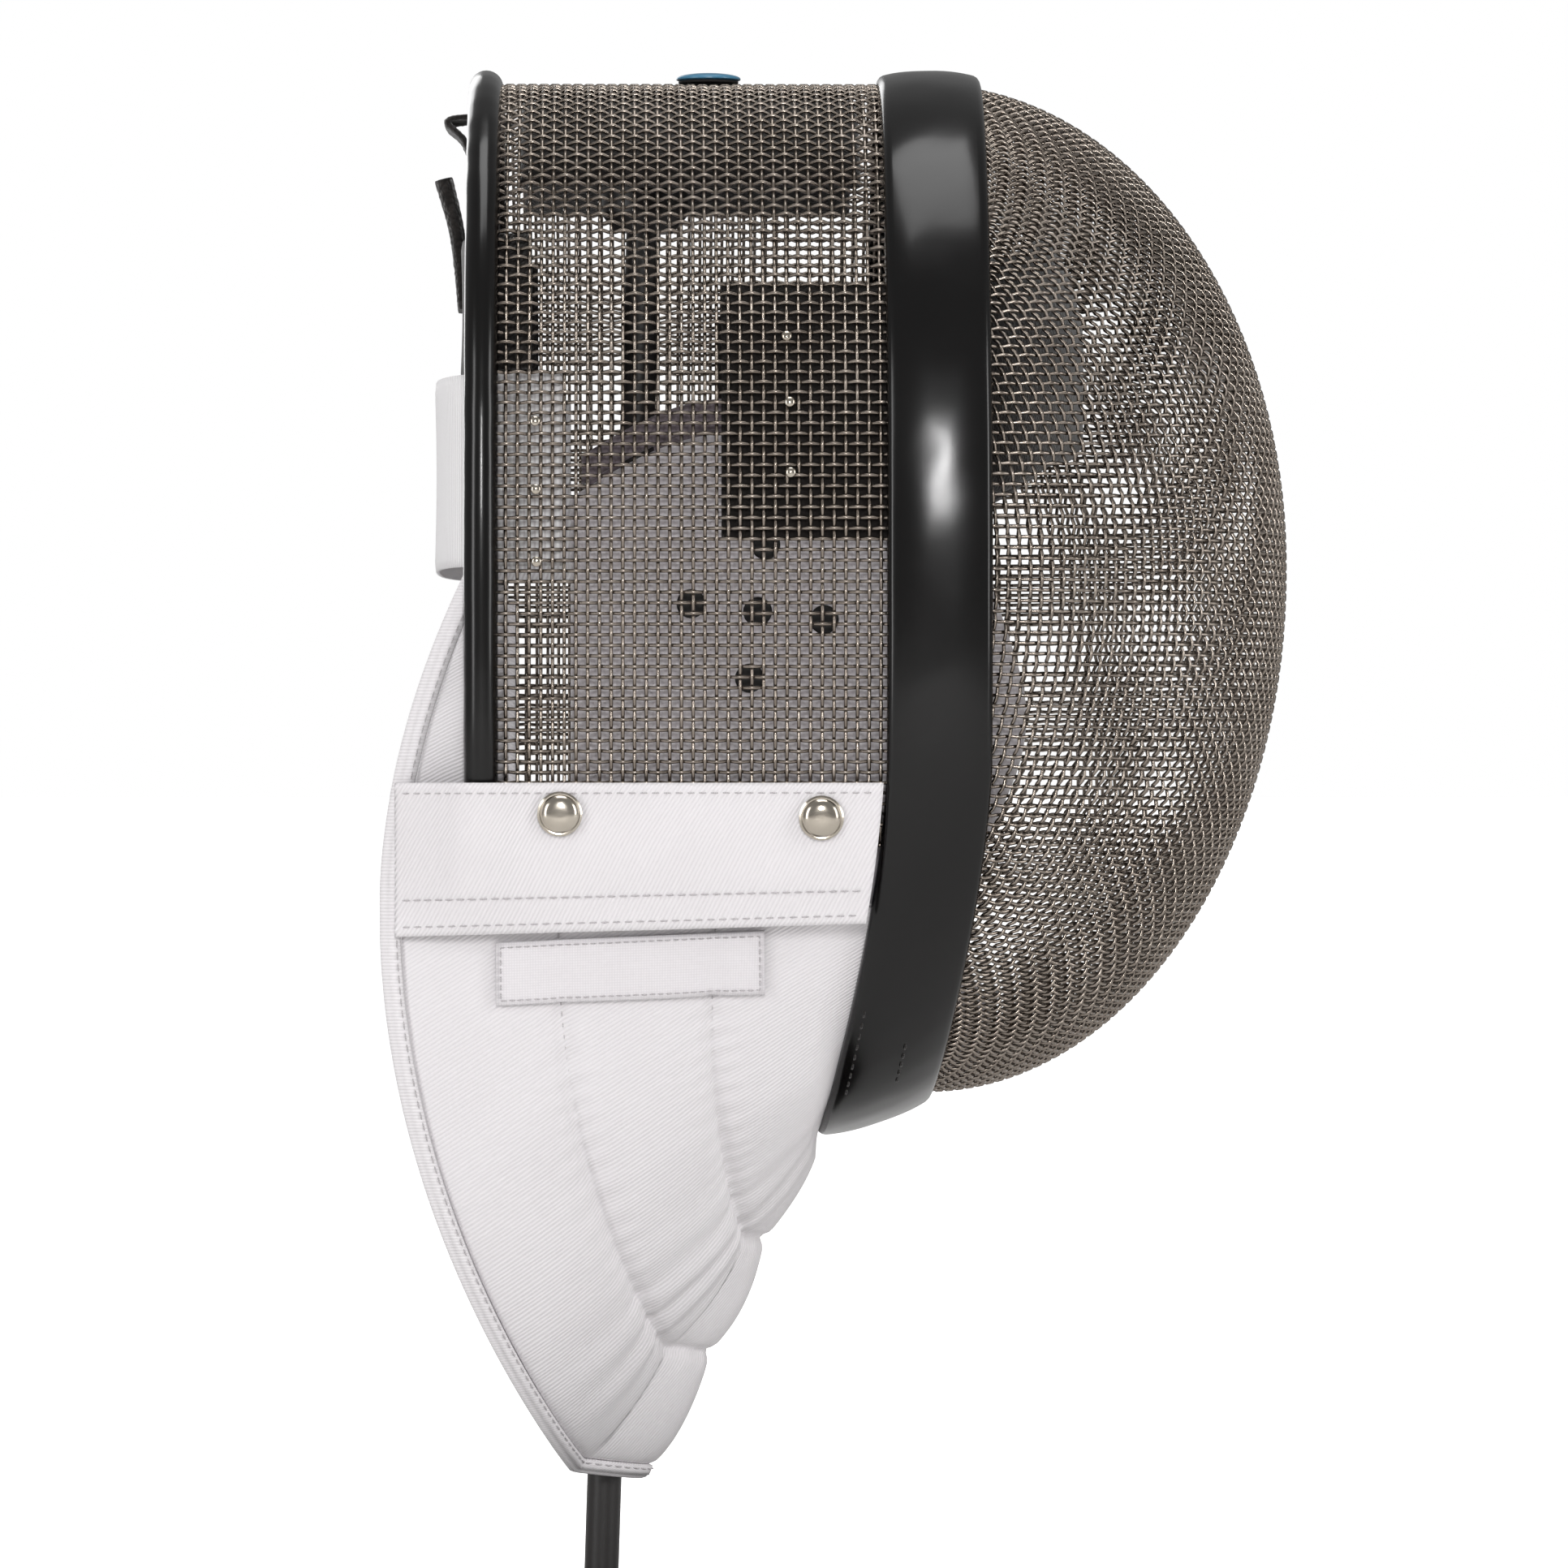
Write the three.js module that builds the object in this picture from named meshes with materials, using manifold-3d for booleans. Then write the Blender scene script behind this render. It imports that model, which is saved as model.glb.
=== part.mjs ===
// A fencing mask hung on a plain stand. Millimetres, +Z up, +X the way the face looks, Y across the head.
// The origin is the centre of the stand's base, on its underside.
import * as THREE from 'three';
import { mergeVertices } from 'three/addons/utils/BufferGeometryUtils.js';
import Module from 'manifold-3d';

const wasm = await Module();
wasm.setup();

// ---------------------------------------------------------------- driving sizes

const GAP = 0.35; // air between pieces that touch on the real mask

const shell = {
  widestZ: 304, // height of the widest section
  rise: 131, // from there up to the crown, at the middle of the wire cloth
  chinDrop: 142.6, // from there down to the chin, at the front of the trim band
  neckDrop: 152.6, // the same at the back of the trim band
  halfWidth: 102, // at the trim band
  rearHalfWidth: 97, // at the rear rim
  upperPower: 2.1, // roundness of the section above and below the widest line
  lowerPower: 2.4,
  cloth: 2, // two crossed wires
};

const face = { centreX: 88.7, reach: 97.4, rings: 9, around: 40 };

const band = {
  rearX: 74.9,
  frontX: 102.6,
  sweepStartZ: 250, // below this the band runs back towards the neck
  sweepEndZ: 150,
  sweep: 17,
  sweepPower: 1.5,
  crownHeight: 3.3, // padded height over the cloth, mid band
  edgeHeight: 1.5,
  hollow: 1.1, // air under the middle
};

const rim = { x: -31.7, radius: 4.6, bottomZ: 219 };

const bib = {
  topZ: 212,
  tipZ: 54.5,
  rearX: -58.7,
  rearY: 86,
  sweep: 52.6, // how far the free edge comes forward by the tip
  sweepPower: 2,
  wrap: 17, // the bend that passes in front of the stand's pole
  wrapShare: 0.12,
  padding: 5.5,
  hem: 2.2,
  channelBulge: 3.4,
  channels: 3,
  edgeShare: 0.955, // where the padding ends and the binding starts
};

const wing = { topZ: 300, forward: 22.9, power: 1.9, frontX: -24.6, thick: 3, inward: 7, clear: 0.8 };

const flap = {
  rearX: -54.5,
  frontX: 74.2,
  topZ: 245,
  rearBottomZ: 204.4,
  frontBottomZ: 207.9,
  rearBottomY: 90.2, // half width along the lower edge
  frontBottomY: 91.6,
  thick: 1.4,
  belly: 5.6,
  tuckLength: 16, // the rear end bends in to the bib over this length
};

// Places the two tapes pass, front to back and down.
const crownTape = {
  width: 25,
  thick: 1.8,
  line: [
    { x: -24.5, z: 423.5 },
    { x: -33, z: 426.3 },
    { x: -42.2, z: 425.2 },
    { x: -37.5, z: 419.5 },
    { x: -34.4, z: 408 },
    { x: -34.4, z: 390 },
    { x: -34.8, z: 362 },
  ],
};
const hookTab = {
  width: 22,
  thick: 2.4,
  line: [
    { x: -40.4, z: 374 },
    { x: -41.3, z: 386 },
    { x: -42.6, z: 397 },
    { x: -44.6, z: 409.5 },
  ],
};
const straps = {
  elastic_strap: { lowZ: 302, highZ: 353, anchorX: -9.5, backX: -45.6 },
  upper_strap: { lowZ: 354, highZ: 391, anchorX: -18.5, backX: -38.6 },
};
const strapWeb = { inward: 1.5, thick: 1.8, straight: 0.14, bendAhead: 1.4 };

const pole = { radius: 4.7, footX: -0.9, leanDeg: 1.8 };
const base = { radius: 88, thick: 12, bevel: 2 };
const cap = { radius: 12, seatRadius: 8, crownRadius: 8.5, chamfer: 5, shoulderZ: 396, topZ: 424.6 };

const black = 0x16140f;
const finish = {
  steel: new THREE.MeshStandardMaterial({ color: 0xa39c94, roughness: 0.35, metalness: 1 }),
  trim: new THREE.MeshStandardMaterial({ color: 0x1d1b1a, roughness: 0.3 }),
  cotton: new THREE.MeshStandardMaterial({ color: 0xe9e5e3, roughness: 0.9 }),
  liner: new THREE.MeshStandardMaterial({ color: 0xd8d2d2, roughness: 0.95 }),
  darkCloth: new THREE.MeshStandardMaterial({ color: black, roughness: 0.95 }),
  greyCloth: new THREE.MeshStandardMaterial({ color: 0x6a6268, roughness: 0.95 }),
  elastic: new THREE.MeshStandardMaterial({ color: 0xefedee, roughness: 0.85 }),
  nickel: new THREE.MeshStandardMaterial({ color: 0xb7a892, roughness: 0.2, metalness: 1 }),
  satin: new THREE.MeshStandardMaterial({ color: 0xe4e2e4, roughness: 0.5 }),
  bluePlastic: new THREE.MeshStandardMaterial({ color: 0x4c7f9c, roughness: 0.35 }),
  standPaint: new THREE.MeshStandardMaterial({ color: 0x262220, roughness: 0.5 }),
};

// ---------------------------------------------------------------- small tools

const v3 = (x, y, z) => new THREE.Vector3(x, y, z);
const mix = (a, b, t) => a + (b - a) * t;
const clamp01 = (t) => Math.min(1, Math.max(0, t));
const span = (n, a = 0, b = 1) => Array.from({ length: n + 1 }, (_, i) => mix(a, b, i / n));

// A closed solid from rows of points. Each row holds an outer line and an inner line of equal length.
// Rows join into a tube with flat ends, or into a ring when looped is true.
function wallSolid(rows, looped = false) {
  const points = [];
  const faces = [];
  const ring = rows[0].outer.length * 2;
  for (const row of rows) points.push(...row.outer, ...[...row.inner].reverse());
  const quad = (a, b, c, d) => faces.push([a, b, c], [a, c, d]);
  const last = looped ? rows.length : rows.length - 1;
  for (let i = 0; i < last; i++) {
    const here = i * ring;
    const next = ((i + 1) % rows.length) * ring;
    for (let j = 0; j < ring; j++) {
      const k = (j + 1) % ring;
      quad(here + j, here + k, next + k, next + j);
    }
  }
  if (!looped) {
    for (const start of [0, (rows.length - 1) * ring]) {
      for (let j = 0; j < ring / 2 - 1; j++) {
        const across = ring - 1 - j;
        const corners = [start + j, start + j + 1, start + across - 1, start + across];
        quad(...(start === 0 ? corners.reverse() : corners));
      }
    }
  }
  return closedGeometry(points, faces);
}

// Triangles between points, with doubled corners dropped and the faces turned outwards.
function closedGeometry(points, faces) {
  const flat = [];
  for (const face3 of faces) {
    const [a, b, c] = face3.map((i) => points[i]);
    if (a.distanceTo(b) > 1e-4 && b.distanceTo(c) > 1e-4 && c.distanceTo(a) > 1e-4) flat.push(a, b, c);
  }
  let volume = 0;
  for (let i = 0; i < flat.length; i += 3) volume += flat[i].dot(flat[i + 1].clone().cross(flat[i + 2]));
  if (volume < 0) flat.reverse();
  return new THREE.BufferGeometry().setFromPoints(flat);
}

// manifold-3d solid of a closed geometry, for cutting.
function solidOf(geometry) {
  const bare = geometry.clone();
  bare.deleteAttribute('normal');
  bare.deleteAttribute('uv');
  const merged = mergeVertices(bare, 1e-4);
  const mesh = new wasm.Mesh({
    numProp: 3,
    vertProperties: new Float32Array(merged.attributes.position.array),
    triVerts: new Uint32Array(merged.index.array),
  });
  return new wasm.Manifold(mesh);
}

function geometryOf(solid) {
  const mesh = solid.getMesh();
  const geometry = new THREE.BufferGeometry();
  geometry.setAttribute('position', new THREE.BufferAttribute(mesh.vertProperties, 3));
  geometry.setIndex(new THREE.BufferAttribute(mesh.triVerts, 1));
  return geometry;
}

// ---------------------------------------------------------------- the mask's wall

const sweepBack = (z) =>
  band.sweep * clamp01((band.sweepStartZ - z) / (band.sweepStartZ - band.sweepEndZ)) ** band.sweepPower;

const dropAt = (x) =>
  mix(shell.neckDrop, shell.chinDrop, clamp01((x - band.rearX) / (band.frontX - band.rearX)));

const widthAt = (x) =>
  mix(shell.rearHalfWidth, shell.halfWidth, clamp01((x - rim.x) / (face.centreX - rim.x)));

// Point of the wall's outline: angle 0 is the crown, PI the chin; in moves it towards the head.
function outline(angle, x, inward = 0, drop = dropAt(x)) {
  const c = Math.cos(angle);
  const s = Math.sin(angle);
  const power = 2 / (c >= 0 ? shell.upperPower : shell.lowerPower);
  const tall = (c >= 0 ? shell.rise : drop) - inward;
  const y = (widthAt(x) - inward) * Math.sign(s) * Math.abs(s) ** power;
  return v3(x, y, shell.widestZ + tall * Math.sign(c) * Math.abs(c) ** power);
}

// Half the wall's width at a height.
function halfWidthAt(x, z, inward = 0, drop = dropAt(x)) {
  const up = z >= shell.widestZ;
  const power = up ? shell.upperPower : shell.lowerPower;
  const tall = (up ? shell.rise : drop) - inward;
  const share = Math.min(1, Math.abs(z - shell.widestZ) / tall);
  return (widthAt(x) - inward) * (1 - share ** power) ** (1 / power);
}

// The outline's angle at a height, on the side where y is positive.
function angleAt(z, drop = shell.neckDrop) {
  const up = z >= shell.widestZ;
  const share = clamp01(Math.abs(z - shell.widestZ) / (up ? shell.rise : drop));
  const c = share ** ((up ? shell.upperPower : shell.lowerPower) / 2);
  return Math.acos(up ? c : -c);
}

// ---------------------------------------------------------------- wire cloth and its trims

function faceMesh() {
  const skin = (angle, share, inward) => {
    const z = outline(angle, face.centreX, inward, shell.chinDrop).z;
    const start = Math.asin(-sweepBack(z) / face.reach);
    const lift = mix(start, Math.PI / 2, share);
    const rimPoint = outline(angle, face.centreX, inward, shell.chinDrop);
    const k = Math.cos(lift);
    return v3(
      face.centreX + GAP + (face.reach - inward) * Math.sin(lift),
      rimPoint.y * k,
      mix(shell.widestZ, rimPoint.z, k),
    );
  };
  const shares = span(face.rings).map((t) => t ** 0.9);
  const rows = span(face.around - 1, 0, 2 * Math.PI * (1 - 1 / face.around)).map((angle) => ({
    outer: shares.map((t) => skin(angle, t, -shell.cloth / 2)),
    inner: shares.map((t) => skin(angle, t, shell.cloth / 2)),
  }));
  return wallSolid(rows, true);
}

function sideMesh() {
  const end = angleAt(rim.bottomZ - 4);
  const rows = span(34, -end, end).map((angle) => {
    const front = face.centreX - 1 - sweepBack(outline(angle, band.rearX, 0, shell.neckDrop).z) * 1.15;
    const xs = span(4, rim.x + rim.radius + GAP, front);
    return {
      outer: xs.map((x) => outline(angle, x, -shell.cloth / 2, shell.neckDrop)),
      inner: xs.map((x) => outline(angle, x, shell.cloth / 2, shell.neckDrop)),
    };
  });
  return wallSolid(rows);
}

// The padded band: rear and front edges on the wall, and an outward direction across them.
function bandFrame(angle) {
  const edge = (a, x, drop) => {
    const p = outline(a, x, 0, drop);
    return p.setX(x - sweepBack(p.z));
  };
  const rear = edge(angle, band.rearX, shell.neckDrop);
  const front = edge(angle, band.frontX, shell.chinDrop);
  const step = 0.02;
  const ahead = edge(angle + step, band.rearX, shell.neckDrop);
  const along = ahead.sub(edge(angle - step, band.rearX, shell.neckDrop));
  const out = along.cross(front.clone().sub(rear)).normalize();
  if (out.dot(v3(0, rear.y, rear.z - shell.widestZ)) < 0) out.negate();
  return { rear, front, out };
}

function trimBand() {
  const steps = span(6);
  const rows = span(51, 0, 2 * Math.PI * (51 / 52)).map((angle) => {
    const { rear, front, out } = bandFrame(angle);
    const at = (t, height) => rear.clone().lerp(front, t).addScaledVector(out, height);
    const arch = (t) => 1 - (2 * t - 1) ** 2;
    const seat = shell.cloth / 2 + GAP;
    return {
      outer: steps.map((t) => at(t, seat + mix(band.edgeHeight, band.crownHeight, arch(t)))),
      inner: steps.map((t) => at(t, seat + band.hollow * arch(t))),
    };
  });
  return wallSolid(rows, true);
}

class RimLine extends THREE.Curve {
  getPoint(t, target = new THREE.Vector3()) {
    const end = angleAt(rim.bottomZ);
    return target.copy(outline(mix(-end, end, t), rim.x, 0, shell.neckDrop));
  }
}

function rearRim() {
  const section = new THREE.Shape().absarc(0, 0, rim.radius, 0, 2 * Math.PI);
  return new THREE.ExtrudeGeometry(section, { steps: 40, extrudePath: new RimLine(), curveSegments: 10 });
}

// ---------------------------------------------------------------- padding inside

// A pad that lines the wall between two angles, over a length of x.
function liningPad({ from, to, steps, rearX, frontX, outer, thick }) {
  const xs = span(4, rearX, frontX);
  const rows = span(steps, from, to).map((angle) => ({
    outer: xs.map((x) => outline(angle, x, outer, shell.neckDrop)),
    inner: xs.map((x) => outline(angle, x, outer + thick, shell.neckDrop)),
  }));
  return wallSolid(rows);
}

const crown = { padLowZ: 408, padRearX: -22, padFrontX: 69, padThick: 8 };
const crownPadEdge = angleAt(crown.padLowZ);

function crownPad() {
  return liningPad({
    from: -crownPadEdge,
    to: crownPadEdge,
    steps: 12,
    rearX: crown.padRearX,
    frontX: crown.padFrontX,
    outer: shell.cloth / 2 + GAP,
    thick: crown.padThick,
  });
}

// Forehead pad: thin side wings fixed to the wall, a thick stretch across the brow.
const brow = {
  rearX: 31.5,
  turnX: 84,
  frontX: 134,
  bottomZ: 309,
  frontBottomZ: 333,
  topZ: 378,
  frontTopZ: 396,
  wingThick: 2,
  thick: 9,
  wingShare: 0.36, // share of the half pad that lies along the wall
  clear: 0.25,
  leanFromZ: 366, // above this the pad leans back
  leanHeight: 30,
  lean: 9,
};

function browPad() {
  const path = (u, z, inward) => {
    // u runs 0 to 1 from one wing's end round the brow to the other's
    const side = u < 0.5 ? -1 : 1;
    const r = 1 - Math.abs(2 * u - 1);
    const straight = brow.wingShare;
    const x = mix(brow.rearX, brow.turnX, Math.min(1, r / straight));
    const half = halfWidthAt(x, z) - brow.clear - inward;
    if (r < straight) return v3(x, side * half, z);
    const a = ((r - straight) / (1 - straight)) * (Math.PI / 2);
    const lean = brow.lean * clamp01((z - brow.leanFromZ) / brow.leanHeight) ** 1.5;
    const reach = brow.frontX - brow.turnX - lean - inward;
    return v3(brow.turnX + reach * Math.sin(a), side * half * Math.cos(a), z);
  };
  const rows = span(28).map((u) => {
    const r = 1 - Math.abs(2 * u - 1);
    const ahead = clamp01((r - 0.3) / 0.5);
    const low = mix(brow.bottomZ, brow.frontBottomZ, ahead);
    const high = mix(brow.topZ, brow.frontTopZ, ahead);
    const thick = mix(brow.wingThick, brow.thick, clamp01((r - 0.3) / 0.3));
    const start = shell.cloth / 2 + GAP + 1.2 * clamp01((r - 0.3) / 0.3);
    const zs = span(4, low, high);
    return {
      outer: zs.map((z) => path(u, z, start)),
      inner: zs.map((z) => path(u, z, start + thick)),
    };
  });
  return wallSolid(rows);
}

// Cheek pads: a flat cushion on each side, with five sound holes over the ear.
const cheek = {
  rearX: -8.2,
  topRearZ: 320,
  topFrontZ: 337,
  riseLength: 42,
  browX: 66, // from here on the brow pad takes the place above
  browZ: 305,
  bottomZ: 196,
  outer: 3.9,
  thick: 8,
  bulgeX: 112,
  bandX: 100,
  footInward: 3.6, // extra room from the wire at the lower edge
  footZ: 236,
  footHeight: 18,
};
const chin = { rise: 14, rearX: 76, frontX: 116, outer: 3.6, inner: 10.6 };
const soundHoles = { centre: { x: 41, z: 290 }, pitch: 17.5, radius: 3.9, slant: 0.12, drill: 60 };

const cheekFrontX = (z) => mix(cheek.bandX, cheek.bulgeX, Math.exp(-(((z - 262) / 30) ** 2))) - sweepBack(z);

function cheekTopZ(x) {
  const rise = Math.sin(clamp01((x - cheek.rearX) / cheek.riseLength) * (Math.PI / 2));
  return mix(mix(cheek.topRearZ, cheek.topFrontZ, rise), cheek.browZ, clamp01((x - cheek.browX) / 10));
}

function cheekPad(side) {
  const at = (share, t, depth) => {
    const z = mix(cheek.bottomZ, cheekTopZ(mix(cheek.rearX, cheek.bandX, share)), t);
    const x = mix(cheek.rearX, cheekFrontX(z), share);
    const inward = cheek.outer + cheek.footInward * clamp01((cheek.footZ - z) / cheek.footHeight) + depth;
    const ahead = Math.max(0, (x - face.centreX) / face.reach);
    const drop = mix(shell.neckDrop, shell.chinDrop, clamp01((x - 40) / 30));
    const half = halfWidthAt(Math.min(x, band.frontX), z, inward, drop) * Math.sqrt(1 - ahead ** 2);
    return v3(x, side * half, z);
  };
  const shares = span(9);
  const rows = span(10).map((t) => ({
    outer: shares.map((s) => at(s, t, 0)),
    inner: shares.map((s) => at(s, t, cheek.thick)),
  }));
  let solid = solidOf(wallSolid(rows));
  for (const [i, k] of [[0, 0], [1, 0], [-1, 0], [0, 1], [0, -1]]) {
    const drill = new THREE.CylinderGeometry(soundHoles.radius, soundHoles.radius, soundHoles.drill, 10);
    drill.translate(
      soundHoles.centre.x + soundHoles.pitch * (i + k * soundHoles.slant),
      side * (shell.halfWidth - 12),
      soundHoles.centre.z + soundHoles.pitch * (k - i * soundHoles.slant),
    );
    solid = solid.subtract(solidOf(drill));
  }
  return geometryOf(solid);
}

// Grey tape over each cheek pad's upper edge.
function padTape(side) {
  const rows = span(8, cheek.rearX + 3, cheek.browX - 2).map((x) => {
    const low = cheekTopZ(x) + 1.2;
    const at = (z, inward) => v3(x, side * halfWidthAt(x, z, inward, shell.neckDrop), z);
    const line = (inward) => [at(low, inward), at(low + 8, inward)];
    return { outer: line(cheek.outer + 1), inner: line(cheek.outer + 5) };
  });
  return wallSolid(rows);
}

function chinPad() {
  const from = angleAt(cheek.bottomZ - chin.rise, shell.chinDrop);
  const rows = span(12, from, 2 * Math.PI - from).map((angle) => {
    const at = (share, inward) => {
      const p = outline(angle, face.centreX, inward, shell.chinDrop);
      const x = mix(chin.rearX, chin.frontX, share) - sweepBack(p.z);
      const k = Math.sqrt(1 - Math.max(0, (x - face.centreX) / face.reach) ** 2);
      return v3(x, p.y * k, mix(shell.widestZ, p.z, k));
    };
    const shares = span(3);
    return { outer: shares.map((s) => at(s, chin.outer)), inner: shares.map((s) => at(s, chin.inner)) };
  });
  return wallSolid(rows);
}

// ---------------------------------------------------------------- the bib

const bibStart = -0.8; // the bib's front edge, from the trim band's rear edge

// The bib's line behind the trim band, side = -1 or 1, t 0 at the top and 1 below the chin.
function bibFront(side, t) {
  const angle = mix(angleAt(bib.topZ), Math.PI, t);
  const p = outline(angle, band.rearX, 0.2, shell.neckDrop);
  return v3(band.rearX + bibStart - sweepBack(p.z), side * p.y, p.z);
}

// The bib's free edge, from the rear corner down to the tip in front of the pole.
function bibFree(side, t) {
  const turn = (t * Math.PI) / 2;
  const fall = Math.sin(turn);
  const near = (1 - t) / bib.wrapShare;
  const wrap = near < 1 ? bib.wrap * (1 - near * near) : 0;
  return v3(
    bib.rearX + bib.sweep * fall ** bib.sweepPower + wrap,
    side * bib.rearY * Math.cos(turn),
    mix(bib.topZ, bib.tipZ, fall),
  );
}

// Point on the bib's outer cloth: s 0 at the band, 1 at the free edge; v -1 to 1 from side to side.
function bibSkin(s, v) {
  const side = v < 0 ? -1 : 1;
  const t = 1 - Math.abs(v);
  return bibFront(side, t).lerp(bibFree(side, t), s);
}

function bibNormal(s, v) {
  const e = 0.004;
  const ds = bibSkin(Math.min(1, s + e), v).sub(bibSkin(Math.max(0, s - e), v));
  const dv = bibSkin(s, Math.min(1, v + e)).sub(bibSkin(s, Math.max(-1, v - e)));
  return ds.cross(dv).normalize();
}

// Padded height of the sewn channels, zero on the seams.
const channel = (s) => Math.abs(Math.sin(Math.PI * bib.channels * s)) ** 0.7;

function bibPoint(s, v, depth) {
  const t = 1 - Math.abs(v);
  const puff = bib.channelBulge * channel(s / bib.edgeShare) * clamp01(t * 2.4) * clamp01(s / 0.08);
  const thick = mix(bib.hem, bib.padding, clamp01(s / 0.15) * clamp01((1 - s) / 0.15 + 0.2));
  return bibSkin(s, v).addScaledVector(bibNormal(s, v), depth === 0 ? puff : -thick);
}

function bibBody() {
  const across = span(15, 0, bib.edgeShare);
  const rows = span(36, -1, 1).map((v) => ({
    outer: across.map((s) => bibPoint(s, v, 0)),
    inner: across.map((s) => bibPoint(s, v, 1)),
  }));
  return wallSolid(rows);
}

// Upper corner of the bib, which runs up inside the rear rim.
const wingRise = (z) => clamp01((z - bib.topZ) / (wing.topZ - bib.topZ));
const wingRearX = (z) => bib.rearX + wing.forward * wingRise(z) ** wing.power;

function wingY(x, z) {
  const rear = mix(bib.rearY, halfWidthAt(rim.x, wing.topZ) - wing.inward, wingRise(z));
  const front = halfWidthAt(rim.x, z) - rim.radius - GAP - wing.clear;
  return mix(rear, front, clamp01((x - bib.rearX) / (rim.x - rim.radius - bib.rearX)));
}

const tape = { width: 6, thick: 0.9 };

function bibWing(side) {
  const rows = span(7, bib.topZ + GAP, wing.topZ - 3).map((z) => {
    const xs = span(3, wingRearX(z) + tape.width + GAP, wing.frontX);
    return {
      outer: xs.map((x) => v3(x, side * wingY(x, z), z)),
      inner: xs.map((x) => v3(x, side * (wingY(x, z) - wing.thick), z)),
    };
  });
  return wallSolid(rows);
}

// Binding tape over the bib's free edge, from one wing's top round the tip to the other's.
function bibBinding() {
  const rows = [];
  const wingRow = (side, z) => {
    const x = wingRearX(z);
    const xs = [x, x + tape.width];
    return {
      outer: xs.map((px) => v3(px, side * (wingY(px, z) + tape.thick), z)),
      inner: xs.map((px) => v3(px, side * (wingY(px, z) - wing.thick - tape.thick), z)),
    };
  };
  const edgeRow = (v) => {
    const edge = bibSkin(1, v);
    const into = bibSkin(0.9, v).sub(edge).normalize();
    const out = bibNormal(0.99, v);
    const length = edge.distanceTo(bibSkin(bib.edgeShare, v)) - tape.thick;
    const at = (along, height) => edge.clone().addScaledVector(into, along).addScaledVector(out, height);
    const low = -bib.hem - tape.thick;
    return { outer: [at(0, tape.thick), at(length, tape.thick)], inner: [at(0, low), at(length, low)] };
  };
  for (const z of span(6, wing.topZ, bib.topZ + 4)) rows.push(wingRow(-1, z));
  for (const v of span(40, -0.97, 0.97)) rows.push(edgeRow(v));
  for (const z of span(6, bib.topZ + 4, wing.topZ)) rows.push(wingRow(1, z));
  return wallSolid(rows);
}

// Outer strip that holds the bib to the wire cloth: it lies over the rim and runs to the trim band.
function flapY(x, z) {
  const share = clamp01((z - flap.rearBottomZ) / (flap.topZ - flap.rearBottomZ));
  const over = rim.radius * Math.exp(-(((x - rim.x) / 11) ** 2));
  const top = halfWidthAt(x, flap.topZ) + shell.cloth / 2 + GAP + over;
  const ahead = clamp01((x - flap.rearX) / (flap.frontX - flap.rearX));
  const bottom = mix(flap.rearBottomY, flap.frontBottomY, ahead);
  const belly = flap.belly * share * (1 - share) * (1 + over / 6);
  const rear = clamp01((x - flap.rearX) / flap.tuckLength);
  const rearEdge = mix(bib.rearY + 1.6, wingY(flap.rearX, z) + 1.4, share);
  return mix(rearEdge, mix(bottom, top, share) + belly, rear ** 0.7);
}

const flapBottomZ = (x) =>
  mix(flap.rearBottomZ, flap.frontBottomZ, clamp01((x - flap.rearX) / (flap.frontX - flap.rearX)));

function bibFlap(side) {
  const rows = span(16, flap.rearX, flap.frontX).map((x) => {
    const zs = span(4, flapBottomZ(x), flap.topZ);
    const edge = (z) => x - (x > 60 ? sweepBack(z) : 0);
    return {
      outer: zs.map((z) => v3(edge(z), side * (flapY(x, z) + flap.thick), z)),
      inner: zs.map((z) => v3(edge(z), side * flapY(x, z), z)),
    };
  });
  return wallSolid(rows);
}

// Surface of the bib at a place seen from the side: solves s and v for the wanted x and z.
function bibAt(x, z) {
  let s = 0.5;
  let v = -0.95;
  for (let i = 0; i < 30; i++) {
    const p = bibSkin(s, v);
    const e = 1e-3;
    const ps = bibSkin(s + e, v).sub(p).divideScalar(e);
    const pv = bibSkin(s, v + e).sub(p).divideScalar(e);
    const det = ps.x * pv.z - pv.x * ps.z;
    const dx = x - p.x;
    const dz = z - p.z;
    s = Math.min(0.95, Math.max(0.02, s + (dx * pv.z - dz * pv.x) / det));
    v = Math.min(-0.02, Math.max(-0.999, v + (ps.x * dz - ps.z * dx) / det));
  }
  return { s, v };
}

// Plain sewn patch under the strip, on the side where y is negative.
const patch = {
  rearX: -28,
  frontX: 42.5,
  height: 16.5,
  rearTopZ: 203,
  frontTopZ: 206.4,
  lift: 0.4,
  thick: 1.2,
};

function namePatch() {
  const rows = span(8).map((t) => {
    const x = mix(patch.rearX, patch.frontX, t);
    const top = mix(patch.rearTopZ, patch.frontTopZ, t);
    const line = (height) =>
      span(3, top - patch.height, top).map((z) => {
        const { s, v } = bibAt(x, z);
        return bibPoint(s, v, 0).addScaledVector(bibNormal(s, v), height);
      });
    return { outer: line(GAP + patch.lift + patch.thick), inner: line(GAP + patch.lift) };
  });
  return wallSolid(rows);
}

// ---------------------------------------------------------------- straps behind the head

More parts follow.
